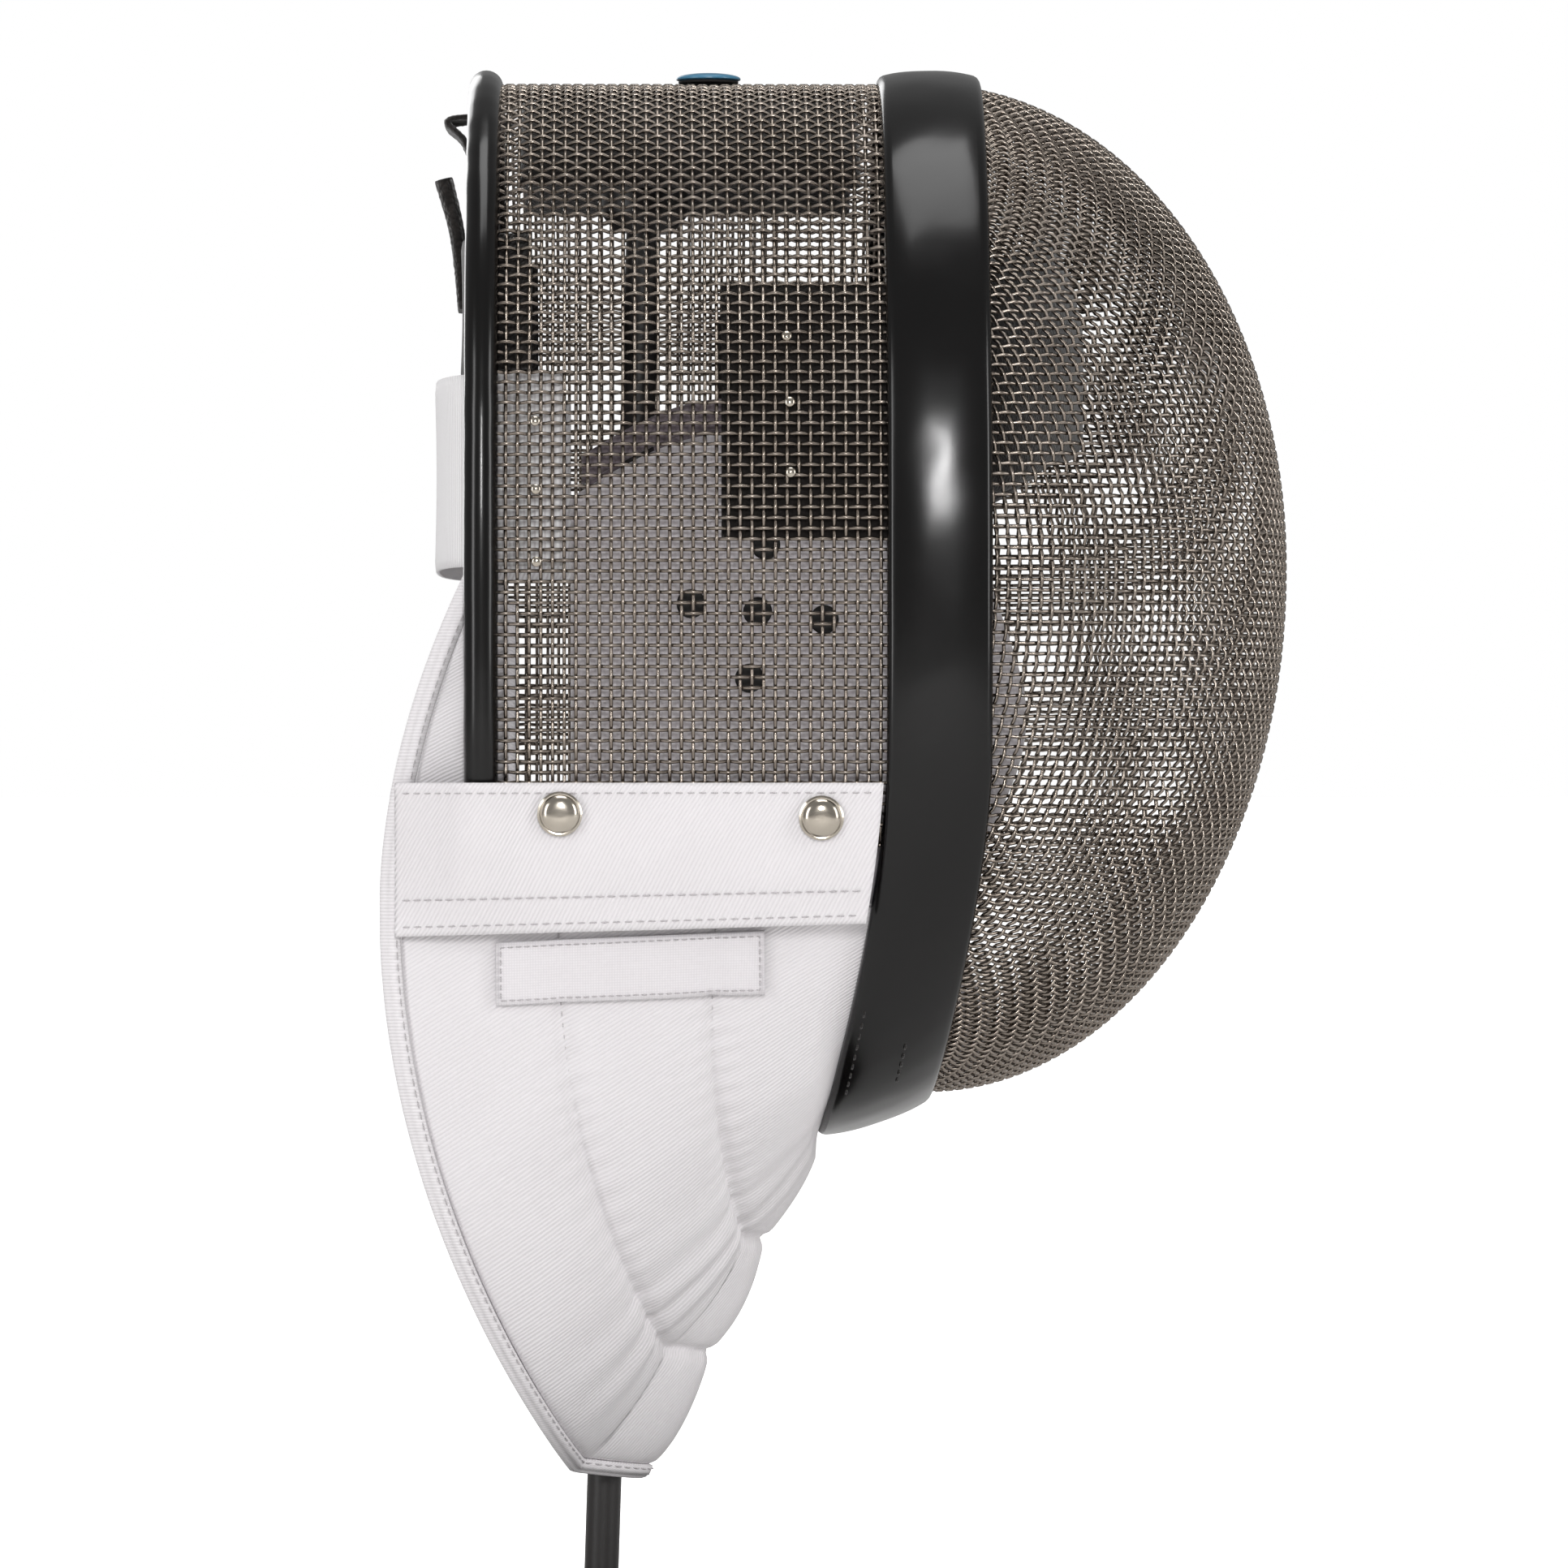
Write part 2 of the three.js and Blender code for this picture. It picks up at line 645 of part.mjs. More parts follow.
// A strap that leaves the wall inside the rim on both sides and bows back behind the head.
function backStrap({ lowZ, highZ, anchorX, backX }) {
  const { inward, thick, straight } = strapWeb;
  const bendX = rim.x + rim.radius + strapWeb.bendAhead;
  const inside = rim.radius + GAP;
  const path = (u, z, depth) => {
    const r = 1 - Math.abs(2 * u - 1);
    const side = u < 0.5 ? -1 : 1;
    const run = Math.min(1, r / straight);
    const x = mix(anchorX, bendX, run);
    const half = halfWidthAt(x, z) - mix(inward, inside, run) - depth;
    if (r < straight) return v3(x, side * half, z);
    const a = ((r - straight) / (1 - straight)) * (Math.PI / 2);
    return v3(bendX - (bendX - backX - depth) * Math.sin(a) ** 0.8, side * half * Math.cos(a) ** 0.7, z);
  };
  const zs = span(3, lowZ, highZ);
  const rows = span(28).map((u) => ({
    outer: zs.map((z) => path(u, z, 0)),
    inner: zs.map((z) => path(u, z, thick)),
  }));
  return wallSolid(rows);
}

// A flat tape in the middle plane, given as a line of x and z.
function middleTape({ line, width, thick }) {
  const curve = new THREE.CatmullRomCurve3(line.map(({ x, z }) => v3(x, 0, z)));
  const points = curve.getPoints(line.length * 3);
  const rows = points.map((p, i) => {
    const ahead = points[Math.min(points.length - 1, i + 1)];
    const behind = points[Math.max(0, i - 1)];
    const along = ahead.clone().sub(behind).normalize();
    const out = v3(along.z, 0, -along.x).multiplyScalar(thick / 2);
    const at = (y, sign) => v3(p.x + sign * out.x, y, p.z + sign * out.z);
    const ys = [-width / 2, width / 2];
    return { outer: ys.map((y) => at(y, 1)), inner: ys.map((y) => at(y, -1)) };
  });
  return wallSolid(rows);
}

// ---------------------------------------------------------------- small hardware

// A turned piece standing on a surface, with its axis along the outward direction.
function turned(profile, sides) {
  const points = profile.map(([r, h]) => new THREE.Vector2(r, h));
  const geometry = new THREE.LatheGeometry(points, sides);
  return geometry.rotateX(Math.PI / 2);
}

function place(mesh, point, out) {
  mesh.position.copy(point);
  mesh.quaternion.setFromUnitVectors(v3(0, 0, 1), out.clone().normalize());
  return mesh;
}

function domeProfile({ radius, height, edge }) {
  const bulge = height - edge;
  const arc = span(4, 0, Math.PI / 2).map((a) => [radius * Math.cos(a), edge + bulge * Math.sin(a)]);
  return [[0, 0], [radius, 0], ...arc.slice(0, -1), [0, height]];
}

// ---------------------------------------------------------------- assembly

const mask = new THREE.Group();

function add(name, geometry, material, parent = mask) {
  const mesh = new THREE.Mesh(geometry, material);
  mesh.name = name;
  parent.add(mesh);
  return mesh;
}

add('face_mesh', faceMesh(), finish.steel);
add('side_mesh', sideMesh(), finish.steel);
add('trim_band', trimBand(), finish.trim);
add('rear_rim', rearRim(), finish.trim);
add('crown_pad', crownPad(), finish.darkCloth);
add('brow_pad', browPad(), finish.darkCloth);
add('chin_pad', chinPad(), finish.liner);
add('bib_body', bibBody(), finish.cotton);
add('bib_binding', bibBinding(), finish.cotton);
add('name_patch', namePatch(), finish.satin);
add('elastic_strap', backStrap(straps.elastic_strap), finish.elastic);
add('upper_strap', backStrap(straps.upper_strap), finish.darkCloth);
add('crown_tape', middleTape(crownTape), finish.darkCloth);
add('hook_tab', middleTape(hookTab), finish.darkCloth);

const sides = { right: -1, left: 1 };
const snapCap = { radius: 5.9, height: 2.4, edge: 0.5, tilt: 0.9 };
const rivetHead = { radius: 1.4, height: 1, edge: 0.3 };
const snapSpots = { rear: { x: -11, z: 236.8 }, front: { x: 57.7, z: 235.8 } };
const rivetSpots = {
  strap_rivet: [{ x: -17.5, z: 340 }, { x: -17.3, z: 322 }, { x: -17.1, z: 303 }],
  pad_rivet: [{ x: 48.7, z: 362.6 }, { x: 49.4, z: 345 }, { x: 49.6, z: 326.4 }],
};

for (const [name, side] of Object.entries(sides)) {
  add(`cheek_pad_${name}`, cheekPad(side), finish.liner);
  add(`pad_tape_${name}`, padTape(side), finish.greyCloth);
  add(`bib_wing_${name}`, bibWing(side), finish.cotton);
  add(`bib_flap_${name}`, bibFlap(side), finish.cotton);
  for (const [where, { x, z }] of Object.entries(snapSpots)) {
    const rise = (flapY(x, z + 1) - flapY(x, z - 1)) / 2;
    const y = flapY(x, z) + flap.thick + 2 * GAP;
    const snap = add(`snap_cap_${where}_${name}`, turned(domeProfile(snapCap), 16), finish.nickel);
    place(snap, v3(x, side * y, z), v3(0, side, -rise * snapCap.tilt));
  }
  for (const [kind, spots] of Object.entries(rivetSpots)) {
    spots.forEach(({ x, z }, i) => {
      const slope = (halfWidthAt(x, z + 1) - halfWidthAt(x, z - 1)) / 2;
      const y = halfWidthAt(x, z) + shell.cloth / 2 + GAP;
      const rivet = add(`${kind}_${name}_${i + 1}`, turned(domeProfile(rivetHead), 8), finish.nickel);
      place(rivet, v3(x, side * y, z), v3(0, side, -slope));
    });
  }
}

const crownZ = shell.widestZ + shell.rise + shell.cloth / 2;
const button = { x: 28.9, radius: 8.8, height: 2.1, edge: 0.6, washerRadius: 8.2, washerThick: 0.6 };
const washer = [
  [0, 0],
  [button.washerRadius, 0],
  [button.washerRadius, button.washerThick],
  [0, button.washerThick],
];
const washerZ = crownZ + GAP;
add('crown_washer', turned(washer, 20), finish.darkCloth).position.set(button.x, 0, washerZ);
add('crown_button', turned(domeProfile(button), 20), finish.bluePlastic)
  .position.set(button.x, 0, washerZ + button.washerThick + 0.1);

const bevelled = [
  [0, 0],
  [base.radius - base.bevel, 0],
  [base.radius, base.bevel],
  [base.radius, base.thick - base.bevel],
  [base.radius - base.bevel, base.thick],
  [0, base.thick],
];
add('stand_base', turned(bevelled, 48), finish.standPaint);

const upright = new THREE.Group();
upright.position.set(pole.footX, 0, base.thick + GAP);
upright.rotation.y = (pole.leanDeg * Math.PI) / 180;
mask.add(upright);
const poleLength = cap.shoulderZ - base.thick - 2 * GAP;
const poleProfile = [[0, 0], [pole.radius, 0], [pole.radius, poleLength], [0, poleLength]];
add('stand_pole', turned(poleProfile, 16), finish.standPaint, upright);
const capTop = cap.topZ - cap.shoulderZ;
add(
  'stand_cap',
  turned(
    [[0, 0], [cap.seatRadius, 0], [cap.radius, cap.chamfer], [cap.radius, capTop - cap.chamfer - 1],
      [cap.crownRadius, capTop - 1.5], [0, capTop]],
    20,
  ),
  finish.standPaint,
  upright,
).position.set(0, 0, poleLength + GAP);

export default mask;
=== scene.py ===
"""A fencing mask hung on a plain stand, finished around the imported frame. Sizes are in millimetres."""

import logging
import math
from collections.abc import Callable, Iterable, Sequence
from dataclasses import dataclass, field
from enum import Enum

import bmesh
import bpy
import numpy as np
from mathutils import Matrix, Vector

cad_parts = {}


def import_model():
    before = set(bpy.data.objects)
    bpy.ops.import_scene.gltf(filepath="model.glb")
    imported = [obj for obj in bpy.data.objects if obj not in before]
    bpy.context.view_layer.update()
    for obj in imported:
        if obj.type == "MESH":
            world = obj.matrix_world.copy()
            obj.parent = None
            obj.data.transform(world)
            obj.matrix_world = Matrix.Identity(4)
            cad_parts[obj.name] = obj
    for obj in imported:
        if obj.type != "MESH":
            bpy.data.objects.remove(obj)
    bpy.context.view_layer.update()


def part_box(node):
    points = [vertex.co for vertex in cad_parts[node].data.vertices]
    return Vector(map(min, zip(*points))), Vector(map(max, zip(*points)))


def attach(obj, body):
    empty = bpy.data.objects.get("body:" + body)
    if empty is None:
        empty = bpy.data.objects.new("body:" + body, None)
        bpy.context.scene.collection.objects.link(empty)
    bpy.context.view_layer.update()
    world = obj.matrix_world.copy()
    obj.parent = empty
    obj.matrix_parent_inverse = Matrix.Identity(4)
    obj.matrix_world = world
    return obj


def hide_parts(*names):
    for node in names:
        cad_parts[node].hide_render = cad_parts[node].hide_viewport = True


Array = np.ndarray
Place = Callable[[Array, Array], tuple[Array, Array]]
LOG = logging.getLogger("fencing_mask")
MM = 0.001
GAP = 0.35  # air between pieces that touch


class Side(Enum):
    """The wearer's side a piece is on, as the sign of its y."""

    RIGHT = -1
    LEFT = 1


class Thread(Enum):
    """Sewing thread by colour."""

    WHITE = "white"
    BLACK = "black"


# ---------------------------------------------------------------- numbers and curves


def mix(a: Array | float, b: Array | float, t: Array | float) -> Array | float:
    """Returns the value a share t of the way from a to b."""
    return a + (b - a) * t


def share(value: Array | float, low: float, high: float) -> Array:
    """Returns how far value lies from low to high, held between 0 and 1."""
    return np.clip((np.asarray(value, float) - low) / (high - low), 0, 1)


def ease(t: Array | float) -> Array:
    """Returns t smoothed at both ends."""
    return t * t * (3 - 2 * t)


def unit(vectors: Array) -> Array:
    """Returns the vectors scaled to length 1."""
    return vectors / np.maximum(np.linalg.norm(vectors, axis=-1, keepdims=True), 1e-12)


def running_length(points: Array, axis: int) -> Array:
    """Distance along one axis of a grid of points.

    Args:
        points: Grid of points, with x, y, z last.
        axis: The axis to run along.

    Returns:
        The distance of each point from the first of its line.
    """
    steps = np.linalg.norm(np.diff(points, axis=axis), axis=-1)
    pad = [(0, 0)] * steps.ndim
    pad[axis] = (1, 0)
    return np.pad(np.cumsum(steps, axis=axis), pad)


def resample(points: Array, step: float) -> Array:
    """Positions along a line at equal distances.

    Args:
        points: Line of points.
        step: Wanted distance between positions.

    Returns:
        Fractional indices into the line.
    """
    length = running_length(points, 0)
    count = max(1, int(round(length[-1] / step)))
    return np.interp(np.linspace(0, length[-1], count + 1), length, np.arange(len(points)))


def at_index(values: Array, index: Array) -> Array:
    """Returns values read at fractional indices."""
    low = np.clip(np.floor(index).astype(int), 0, len(values) - 2)
    return mix(values[low], values[low + 1], (index - low)[:, None])


def ripple(u: Array, v: Array, seed: int, waves: int = 7) -> Array:
    """Smooth uneven height made of a few seeded waves.

    Args:
        u: First coordinate, in wavelengths.
        v: Second coordinate, in wavelengths.
        seed: Picks the waves.
        waves: How many waves are added.

    Returns:
        Heights of about -1 to 1.
    """
    draw = np.random.default_rng(seed)
    total = np.zeros(np.broadcast(u, v).shape)
    for _ in range(waves):
        turn, phase, pace = draw.uniform(0, 2 * math.pi, 2).tolist() + [draw.uniform(0.6, 1.5)]
        total = total + np.sin(2 * math.pi * pace * (u * math.cos(turn) + v * math.sin(turn)) + phase)
    return total / waves**0.5


# ---------------------------------------------------------------- meshes


@dataclass
class MeshParts:
    """Points, faces and cloth coordinates gathered for one piece."""

    points: list[Array] = field(default_factory=list)
    quads: list[Array] = field(default_factory=list)
    quad_uvs: list[Array] = field(default_factory=list)
    caps: list[Array] = field(default_factory=list)
    count: int = 0

    def add_grid(self, grid: Array, loop_rows: bool = False, loop_columns: bool = False) -> None:
        """Adds a grid of quads, with cloth coordinates in metres.

        Args:
            grid: Points by row and column.
            loop_rows: Joins the last row to the first.
            loop_columns: Joins the last column to the first.
        """
        rows, columns = grid.shape[:2]
        wide = np.concatenate([grid, grid[:, :1]], 1) if loop_columns else grid
        full = np.concatenate([wide, wide[:1]], 0) if loop_rows else wide
        across, along = running_length(full, 0), running_length(full, 1)
        uv = np.stack([across - across[:, :1] * 0, along], -1) * MM
        i, j = np.meshgrid(np.arange(full.shape[0] - 1), np.arange(full.shape[1] - 1), indexing="ij")
        corners = [(i, j), (i + 1, j), (i + 1, j + 1), (i, j + 1)]
        ids = np.stack([(a % rows) * columns + (b % columns) for a, b in corners], -1)
        self.quads.append(ids.reshape(-1, 4) + self.count)
        self.quad_uvs.append(np.stack([uv[a, b] for a, b in corners], -2).reshape(-1, 4, 2))
        self.points.append(grid.reshape(-1, 3))
        self.count += rows * columns

    def add_cap(self, ids: Array) -> None:
        """Adds one face through points counted from the start of the piece."""
        self.caps.append(np.asarray(ids, int))

    def add_tube(self, line: Array, normals: Array, radius: Array | float, sides: int) -> None:
        """Adds a closed tube along a line.

        Args:
            line: Centre line.
            normals: A direction across the line at each point.
            radius: Radius, one value or one for each point.
            sides: Sides of the section.
        """
        along = unit(np.gradient(line, axis=0))
        across = unit(np.cross(along, normals))
        up = np.cross(across, along)
        turn = np.arange(sides) * 2 * math.pi / sides
        spread = np.broadcast_to(np.asarray(radius, float), (len(line),))[:, None, None]
        ring = up[:, None] * np.cos(turn)[:, None] + across[:, None] * np.sin(turn)[:, None]
        start = self.count
        self.add_grid(line[:, None] + spread * ring, loop_columns=True)
        self.add_cap(start + np.arange(sides)[::-1])
        self.add_cap(start + (len(line) - 1) * sides + np.arange(sides))

    def build(self, name: str, smooth: bool = True) -> bpy.types.Object:
        """Makes the object.

        Args:
            name: Name of the piece.
            smooth: Shades the faces smoothly.

        Returns:
            The linked object, with faces turned outwards.
        """
        points = np.concatenate(self.points) * MM
        quads = np.concatenate(self.quads)
        loops = np.concatenate([quads.ravel(), *self.caps]).astype(np.int32)
        sizes = np.concatenate([np.full(len(quads), 4), [len(c) for c in self.caps]]).astype(np.int32)
        mesh = bpy.data.meshes.new(name)
        mesh.vertices.add(len(points))
        mesh.vertices.foreach_set("co", points.astype(np.float32).ravel())
        mesh.loops.add(len(loops))
        mesh.loops.foreach_set("vertex_index", loops)
        mesh.polygons.add(len(sizes))
        mesh.polygons.foreach_set("loop_start", np.concatenate([[0], np.cumsum(sizes)[:-1]]).astype(np.int32))
        uvs = np.zeros((len(loops), 2), np.float32)
        uvs[: quads.size] = np.concatenate(self.quad_uvs).reshape(-1, 2)
        layer = mesh.uv_layers.new(name="cloth")
        layer.data.foreach_set("uv", uvs.ravel())
        mesh.polygons.foreach_set("use_smooth", np.full(len(sizes), smooth))
        mesh.update(calc_edges=True)
        made = bpy.data.objects.new(name, mesh)
        bpy.context.scene.collection.objects.link(made)
        face_outwards(mesh)
        return made


def face_outwards(mesh: bpy.types.Mesh) -> None:
    """Turns a closed mesh's faces outwards."""
    shape = bmesh.new()
    shape.from_mesh(mesh)
    if shape.calc_volume(signed=True) < 0:
        bmesh.ops.reverse_faces(shape, faces=shape.faces)
        shape.to_mesh(mesh)
    shape.free()


def soften(piece: bpy.types.Object, degrees: float = 38) -> bpy.types.Object:
    """Keeps edges sharper than an angle crisp, and returns the piece."""
    shape = bmesh.new()
    shape.from_mesh(piece.data)
    for edge in shape.edges:
        edge.smooth = len(edge.link_faces) != 2 or edge.calc_face_angle(0) < math.radians(degrees)
    shape.to_mesh(piece.data)
    shape.free()
    return piece


def layered(outer: Array, inner: Array, loop_rows: bool = False) -> MeshParts:
    """A closed wall between two grids of points.

    Args:
        outer: Outer skin by row and column.
        inner: Inner skin, the same size.
        loop_rows: Joins the last row to the first, as on a band.

    Returns:
        The wall's parts.
    """
    parts = MeshParts()
    ring = np.concatenate([outer, inner[:, ::-1]], 1)
    parts.add_grid(ring, loop_rows=loop_rows, loop_columns=True)
    if not loop_rows:
        rows, width = ring.shape[:2]
        half = width // 2
        for row in (0, rows - 1):
            ids = row * width + np.arange(width)
            for j in range(half - 1):
                face = np.array([ids[j], ids[j + 1], ids[width - 2 - j], ids[width - 1 - j]])
                parts.add_cap(face[::-1] if row == 0 else face)
    return parts


def cushion(place: Place, rows: int, columns: int, outer: float, thick: float, edge: float = 0.12,
            plump: float = 0.0) -> MeshParts:
    """A soft pad with rounded edges that lines a surface.

    Args:
        place: Gives points and inward directions for shares of 0 to 1 each way.
        rows: Steps along the first share.
        columns: Steps along the second share.
        outer: Distance from the surface to the pad.
        thick: Thickness of the pad.
        edge: Share of the width that the rounding takes.
        plump: Extra height in the middle.

    Returns:
        The pad's parts.
    """
    u = 0.5 - 0.5 * np.cos(np.linspace(0, math.pi, rows + 1))
    v = 0.5 - 0.5 * np.cos(np.linspace(0, math.pi, columns + 1))
    uu, vv = np.meshgrid(u, v, indexing="ij")
    points, inward = place(uu, vv)
    near = np.minimum(np.minimum(uu, 1 - uu), np.minimum(vv, 1 - vv)) / edge
    round_off = np.sqrt(1 - (1 - np.clip(near, 0, 1)) ** 2)
    swell = 16 * uu * (1 - uu) * vv * (1 - vv)
    middle = outer + thick / 2
    height = (thick / 2) * np.maximum(round_off, 0.08)
    top = points + inward * (middle - height)[..., None]
    under = points + inward * (middle + height + plump * swell)[..., None]
    return layered(top, under)


def turned(name: str, profile: Sequence[tuple[float, float]], at: Array, out: Array, sides: int = 48,
           crisp: float = 32) -> bpy.types.Object:
    """A turned piece on a surface.

    Args:
        name: Name of the piece.
        profile: Radius and height pairs, starting and ending on the axis.
        at: Where it stands.
        out: Direction of its axis.
        sides: Facets round it.
        crisp: Angle above which an edge stays sharp.

    Returns:
        The object.
    """
    axis = unit(np.asarray(out, float))
    helper = np.array([1.0, 0, 0]) if abs(axis[0]) < 0.9 else np.array([0, 1.0, 0])
    first = unit(np.cross(axis, helper))
    second = np.cross(axis, first)
    turn = np.arange(sides) * 2 * math.pi / sides
    ring = first * np.cos(turn)[:, None] + second * np.sin(turn)[:, None]
    rows = np.array([[max(r, 1e-3), h] for r, h in profile])
    grid = np.asarray(at) + rows[:, 0, None, None] * ring + rows[:, 1, None, None] * axis
    parts = MeshParts()
    parts.add_grid(grid, loop_columns=True)
    parts.add_cap(np.arange(sides)[::-1])
    parts.add_cap((len(rows) - 1) * sides + np.arange(sides))
    return soften(parts.build(name), crisp)


def dome_profile(radius: float, height: float, edge: float, steps: int = 8) -> list[tuple[float, float]]:
    """Returns the profile of a low dome on a short edge."""
    turn = np.linspace(0, math.pi / 2, steps + 1)
    arc = [(radius * math.cos(a), edge + (height - edge) * math.sin(a)) for a in turn]
    return [(0, 0), (radius * 0.94, 0), (radius, edge * 0.5), *arc]


@dataclass(frozen=True)
class Stitching:
    """A row of thread stitches that lies on cloth."""

    length: float = 2.3
    gap: float = 0.8
    radius: float = 0.24
    lift: float = 0.12

    def add(self, parts: MeshParts, line: Array, normals: Array) -> None:
        """Adds the stitches along a line.

        Args:
            parts: Gathers the thread.
            line: Path on the cloth, as close points.
            normals: Outward direction at each point.
        """
        stops = resample(line, self.length + self.gap)
        shares = np.array([0.0, 0.25, 0.5, 0.75, 1.0])
        rise = np.array([-0.7, 0.6, 1.0, 0.6, -0.7])
        used = self.length / (self.length + self.gap)
        for low, high in zip(stops[:-1], stops[1:]):
            index = low + (high - low) * used * shares
            centre, out = at_index(line, index), unit(at_index(normals, index))
            centre = centre + out * (self.lift + self.radius * rise)[:, None]
            parts.add_tube(centre, out, self.radius * np.array([0.5, 1, 1, 1, 0.5]), 5)


# ---------------------------------------------------------------- finishes


def linear(colour: str) -> tuple[float, float, float, float]:
    """Turns an sRGB hex colour into linear values.

    Args:
        colour: Six hex digits after a hash.

    Returns:
        Red, green, blue and an alpha of 1.
    """
    parts = [int(colour[i : i + 2], 16) / 255 for i in (1, 3, 5)]
    return tuple(c / 12.92 if c <= 0.04045 else ((c + 0.055) / 1.055) ** 2.4 for c in parts) + (1.0,)


Link = tuple[bpy.types.Node, str | int]


def add_node(tree: bpy.types.NodeTree, kind: str, settings: dict[str, object] | None = None,
             inputs: dict[str | int, object] | None = None) -> bpy.types.Node:
    """Adds a node with its settings, values and links.

    Args:
        tree: Tree that takes the node.
        kind: Blender's name of the node's type.
        settings: Properties of the node.
        inputs: Socket to its value, or to the node and output linked to it.

    Returns:
        The node.
    """
    node = tree.nodes.new(kind)
    for key, value in (settings or {}).items():
        setattr(node, key, value)
    for key, value in (inputs or {}).items():
        if isinstance(value, tuple) and isinstance(value[0], bpy.types.Node):
            tree.links.new(value[0].outputs[value[1]], node.inputs[key])
        else:
            node.inputs[key].default_value = value
    return node


@dataclass(frozen=True)
class Finish:
    """What every finish shares: a shader with plain values, then its own colour and bump."""

    name: str
    colour: str
    roughness: float = 0.5

    def shader_values(self) -> dict[str, object]:
        """Returns values set straight on the shader."""
        return {}

    def pattern(self, tree: bpy.types.NodeTree) -> tuple[Link | None, Link | None, Link | None]:
        """Returns the links for colour, roughness and normal."""
        return None, None, None

    def make(self) -> bpy.types.Material:
        """Builds the material.

        Returns:
            The material, made once and then reused.
        """
        known = bpy.data.materials.get(self.name)
        if known:
            return known
        material = bpy.data.materials.new(self.name)
        material.use_nodes = True
        tree = material.node_tree
        shader = tree.nodes["Principled BSDF"]
        values = {"Base Color": linear(self.colour), "Roughness": self.roughness, **self.shader_values()}
        for key, value in values.items():
            shader.inputs[key].default_value = value
        for key, link in zip(("Base Color", "Roughness", "Normal"), self.pattern(tree)):
            if link:
                tree.links.new(link[0].outputs[link[1]], shader.inputs[key])
        return material

    def shade(self, tree: bpy.types.NodeTree, factor: Link, low: str, high: str) -> Link:
        """Returns a colour that runs from low to high with a factor."""
        ramp = add_node(tree, "ShaderNodeValToRGB", inputs={"Fac": factor})
        ramp.color_ramp.elements[0].color = linear(low)
        ramp.color_ramp.elements[1].color = linear(high)
        return ramp, "Color"


def waves(tree: bpy.types.NodeTree, source: Link, pitch: float, turn: float = 0.0,
          direction: str = "X") -> bpy.types.Node:
    """Adds parallel ridges of a real pitch.

    Args:
        tree: Tree that takes the nodes.
        source: Coordinates in metres.
        pitch: Distance between ridges, in millimetres.
        turn: Angle of the ridges, in degrees.
        direction: Axis across the ridges.

    Returns:
        The wave node, whose value runs from 0 to 1.
    """
    turned_by = add_node(tree, "ShaderNodeMapping", inputs={
        "Vector": source, "Rotation": (0, 0, math.radians(turn))})
    return add_node(tree, "ShaderNodeTexWave", {"bands_direction": direction}, {
        "Vector": (turned_by, 0), "Scale": math.pi / 10 / (pitch * MM)})


@dataclass(frozen=True)
class WovenCloth(Finish):
    """Cloth woven from two sets of yarns, laid out by its own cloth coordinates."""

    yarn: float = 0.9  # drawn as coarse as it needs to show; the real yarns lie 0.45 mm apart
    twill: float = 0.0  # angle of the twill line, 0 for a plain weave
    depth: float = 0.25
    shadow: str = "#c9c7c9"
    soil: str = "#d9d5d7"
    fuzz: float = 0.35

    def shader_values(self) -> dict[str, object]:
        """Returns cloth's soft edge sheen and weak reflection."""
        return {"Sheen Weight": self.fuzz, "Sheen Roughness": 0.55, "Specular IOR Level": 0.2}

    def pattern(self, tree: bpy.types.NodeTree) -> tuple[Link | None, Link | None, Link | None]:
        """Returns a weave with uneven yarns, and a faint uneven tone from handling."""
        uv = add_node(tree, "ShaderNodeUVMap", {"uv_map": "cloth"})
        wobble = add_node(tree, "ShaderNodeTexNoise", {}, {"Vector": (uv, 0), "Scale": 900, "Detail": 2})
        ridges = waves(tree, (uv, 0), self.yarn, self.twill)
        across = waves(tree, (uv, 0), self.yarn, self.twill, "Y")
        weave = add_node(tree, "ShaderNodeMath", {"operation": "MULTIPLY" if self.twill == 0 else "MAXIMUM"}, {
            0: (ridges, "Fac"), 1: (across, "Fac")} if self.twill == 0 else {0: (ridges, "Fac"), 1: 0.0})
        rough = add_node(tree, "ShaderNodeMath", {"operation": "MULTIPLY_ADD"}, {
            0: (wobble, "Fac"), 1: 0.6, 2: (weave, 0)})
        bump = add_node(tree, "ShaderNodeBump", {}, {
            "Height": (rough, 0), "Strength": self.depth, "Distance": 0.25 * MM})
        coords = add_node(tree, "ShaderNodeTexCoord")
        blotch = add_node(tree, "ShaderNodeTexNoise", {}, {"Vector": (coords, "Object"), "Scale": 26, "Detail": 4})
        tone = self.shade(tree, (blotch, "Fac"), self.soil, self.colour)
        dim = self.shade(tree, (rough, 0), self.shadow, "#ffffff")
        both = add_node(tree, "ShaderNodeMix", {"data_type": "RGBA", "blend_type": "MULTIPLY"}, {
            "Factor": 0.35, 6: tone, 7: dim})
        return (both, 2), None, (bump, "Normal")


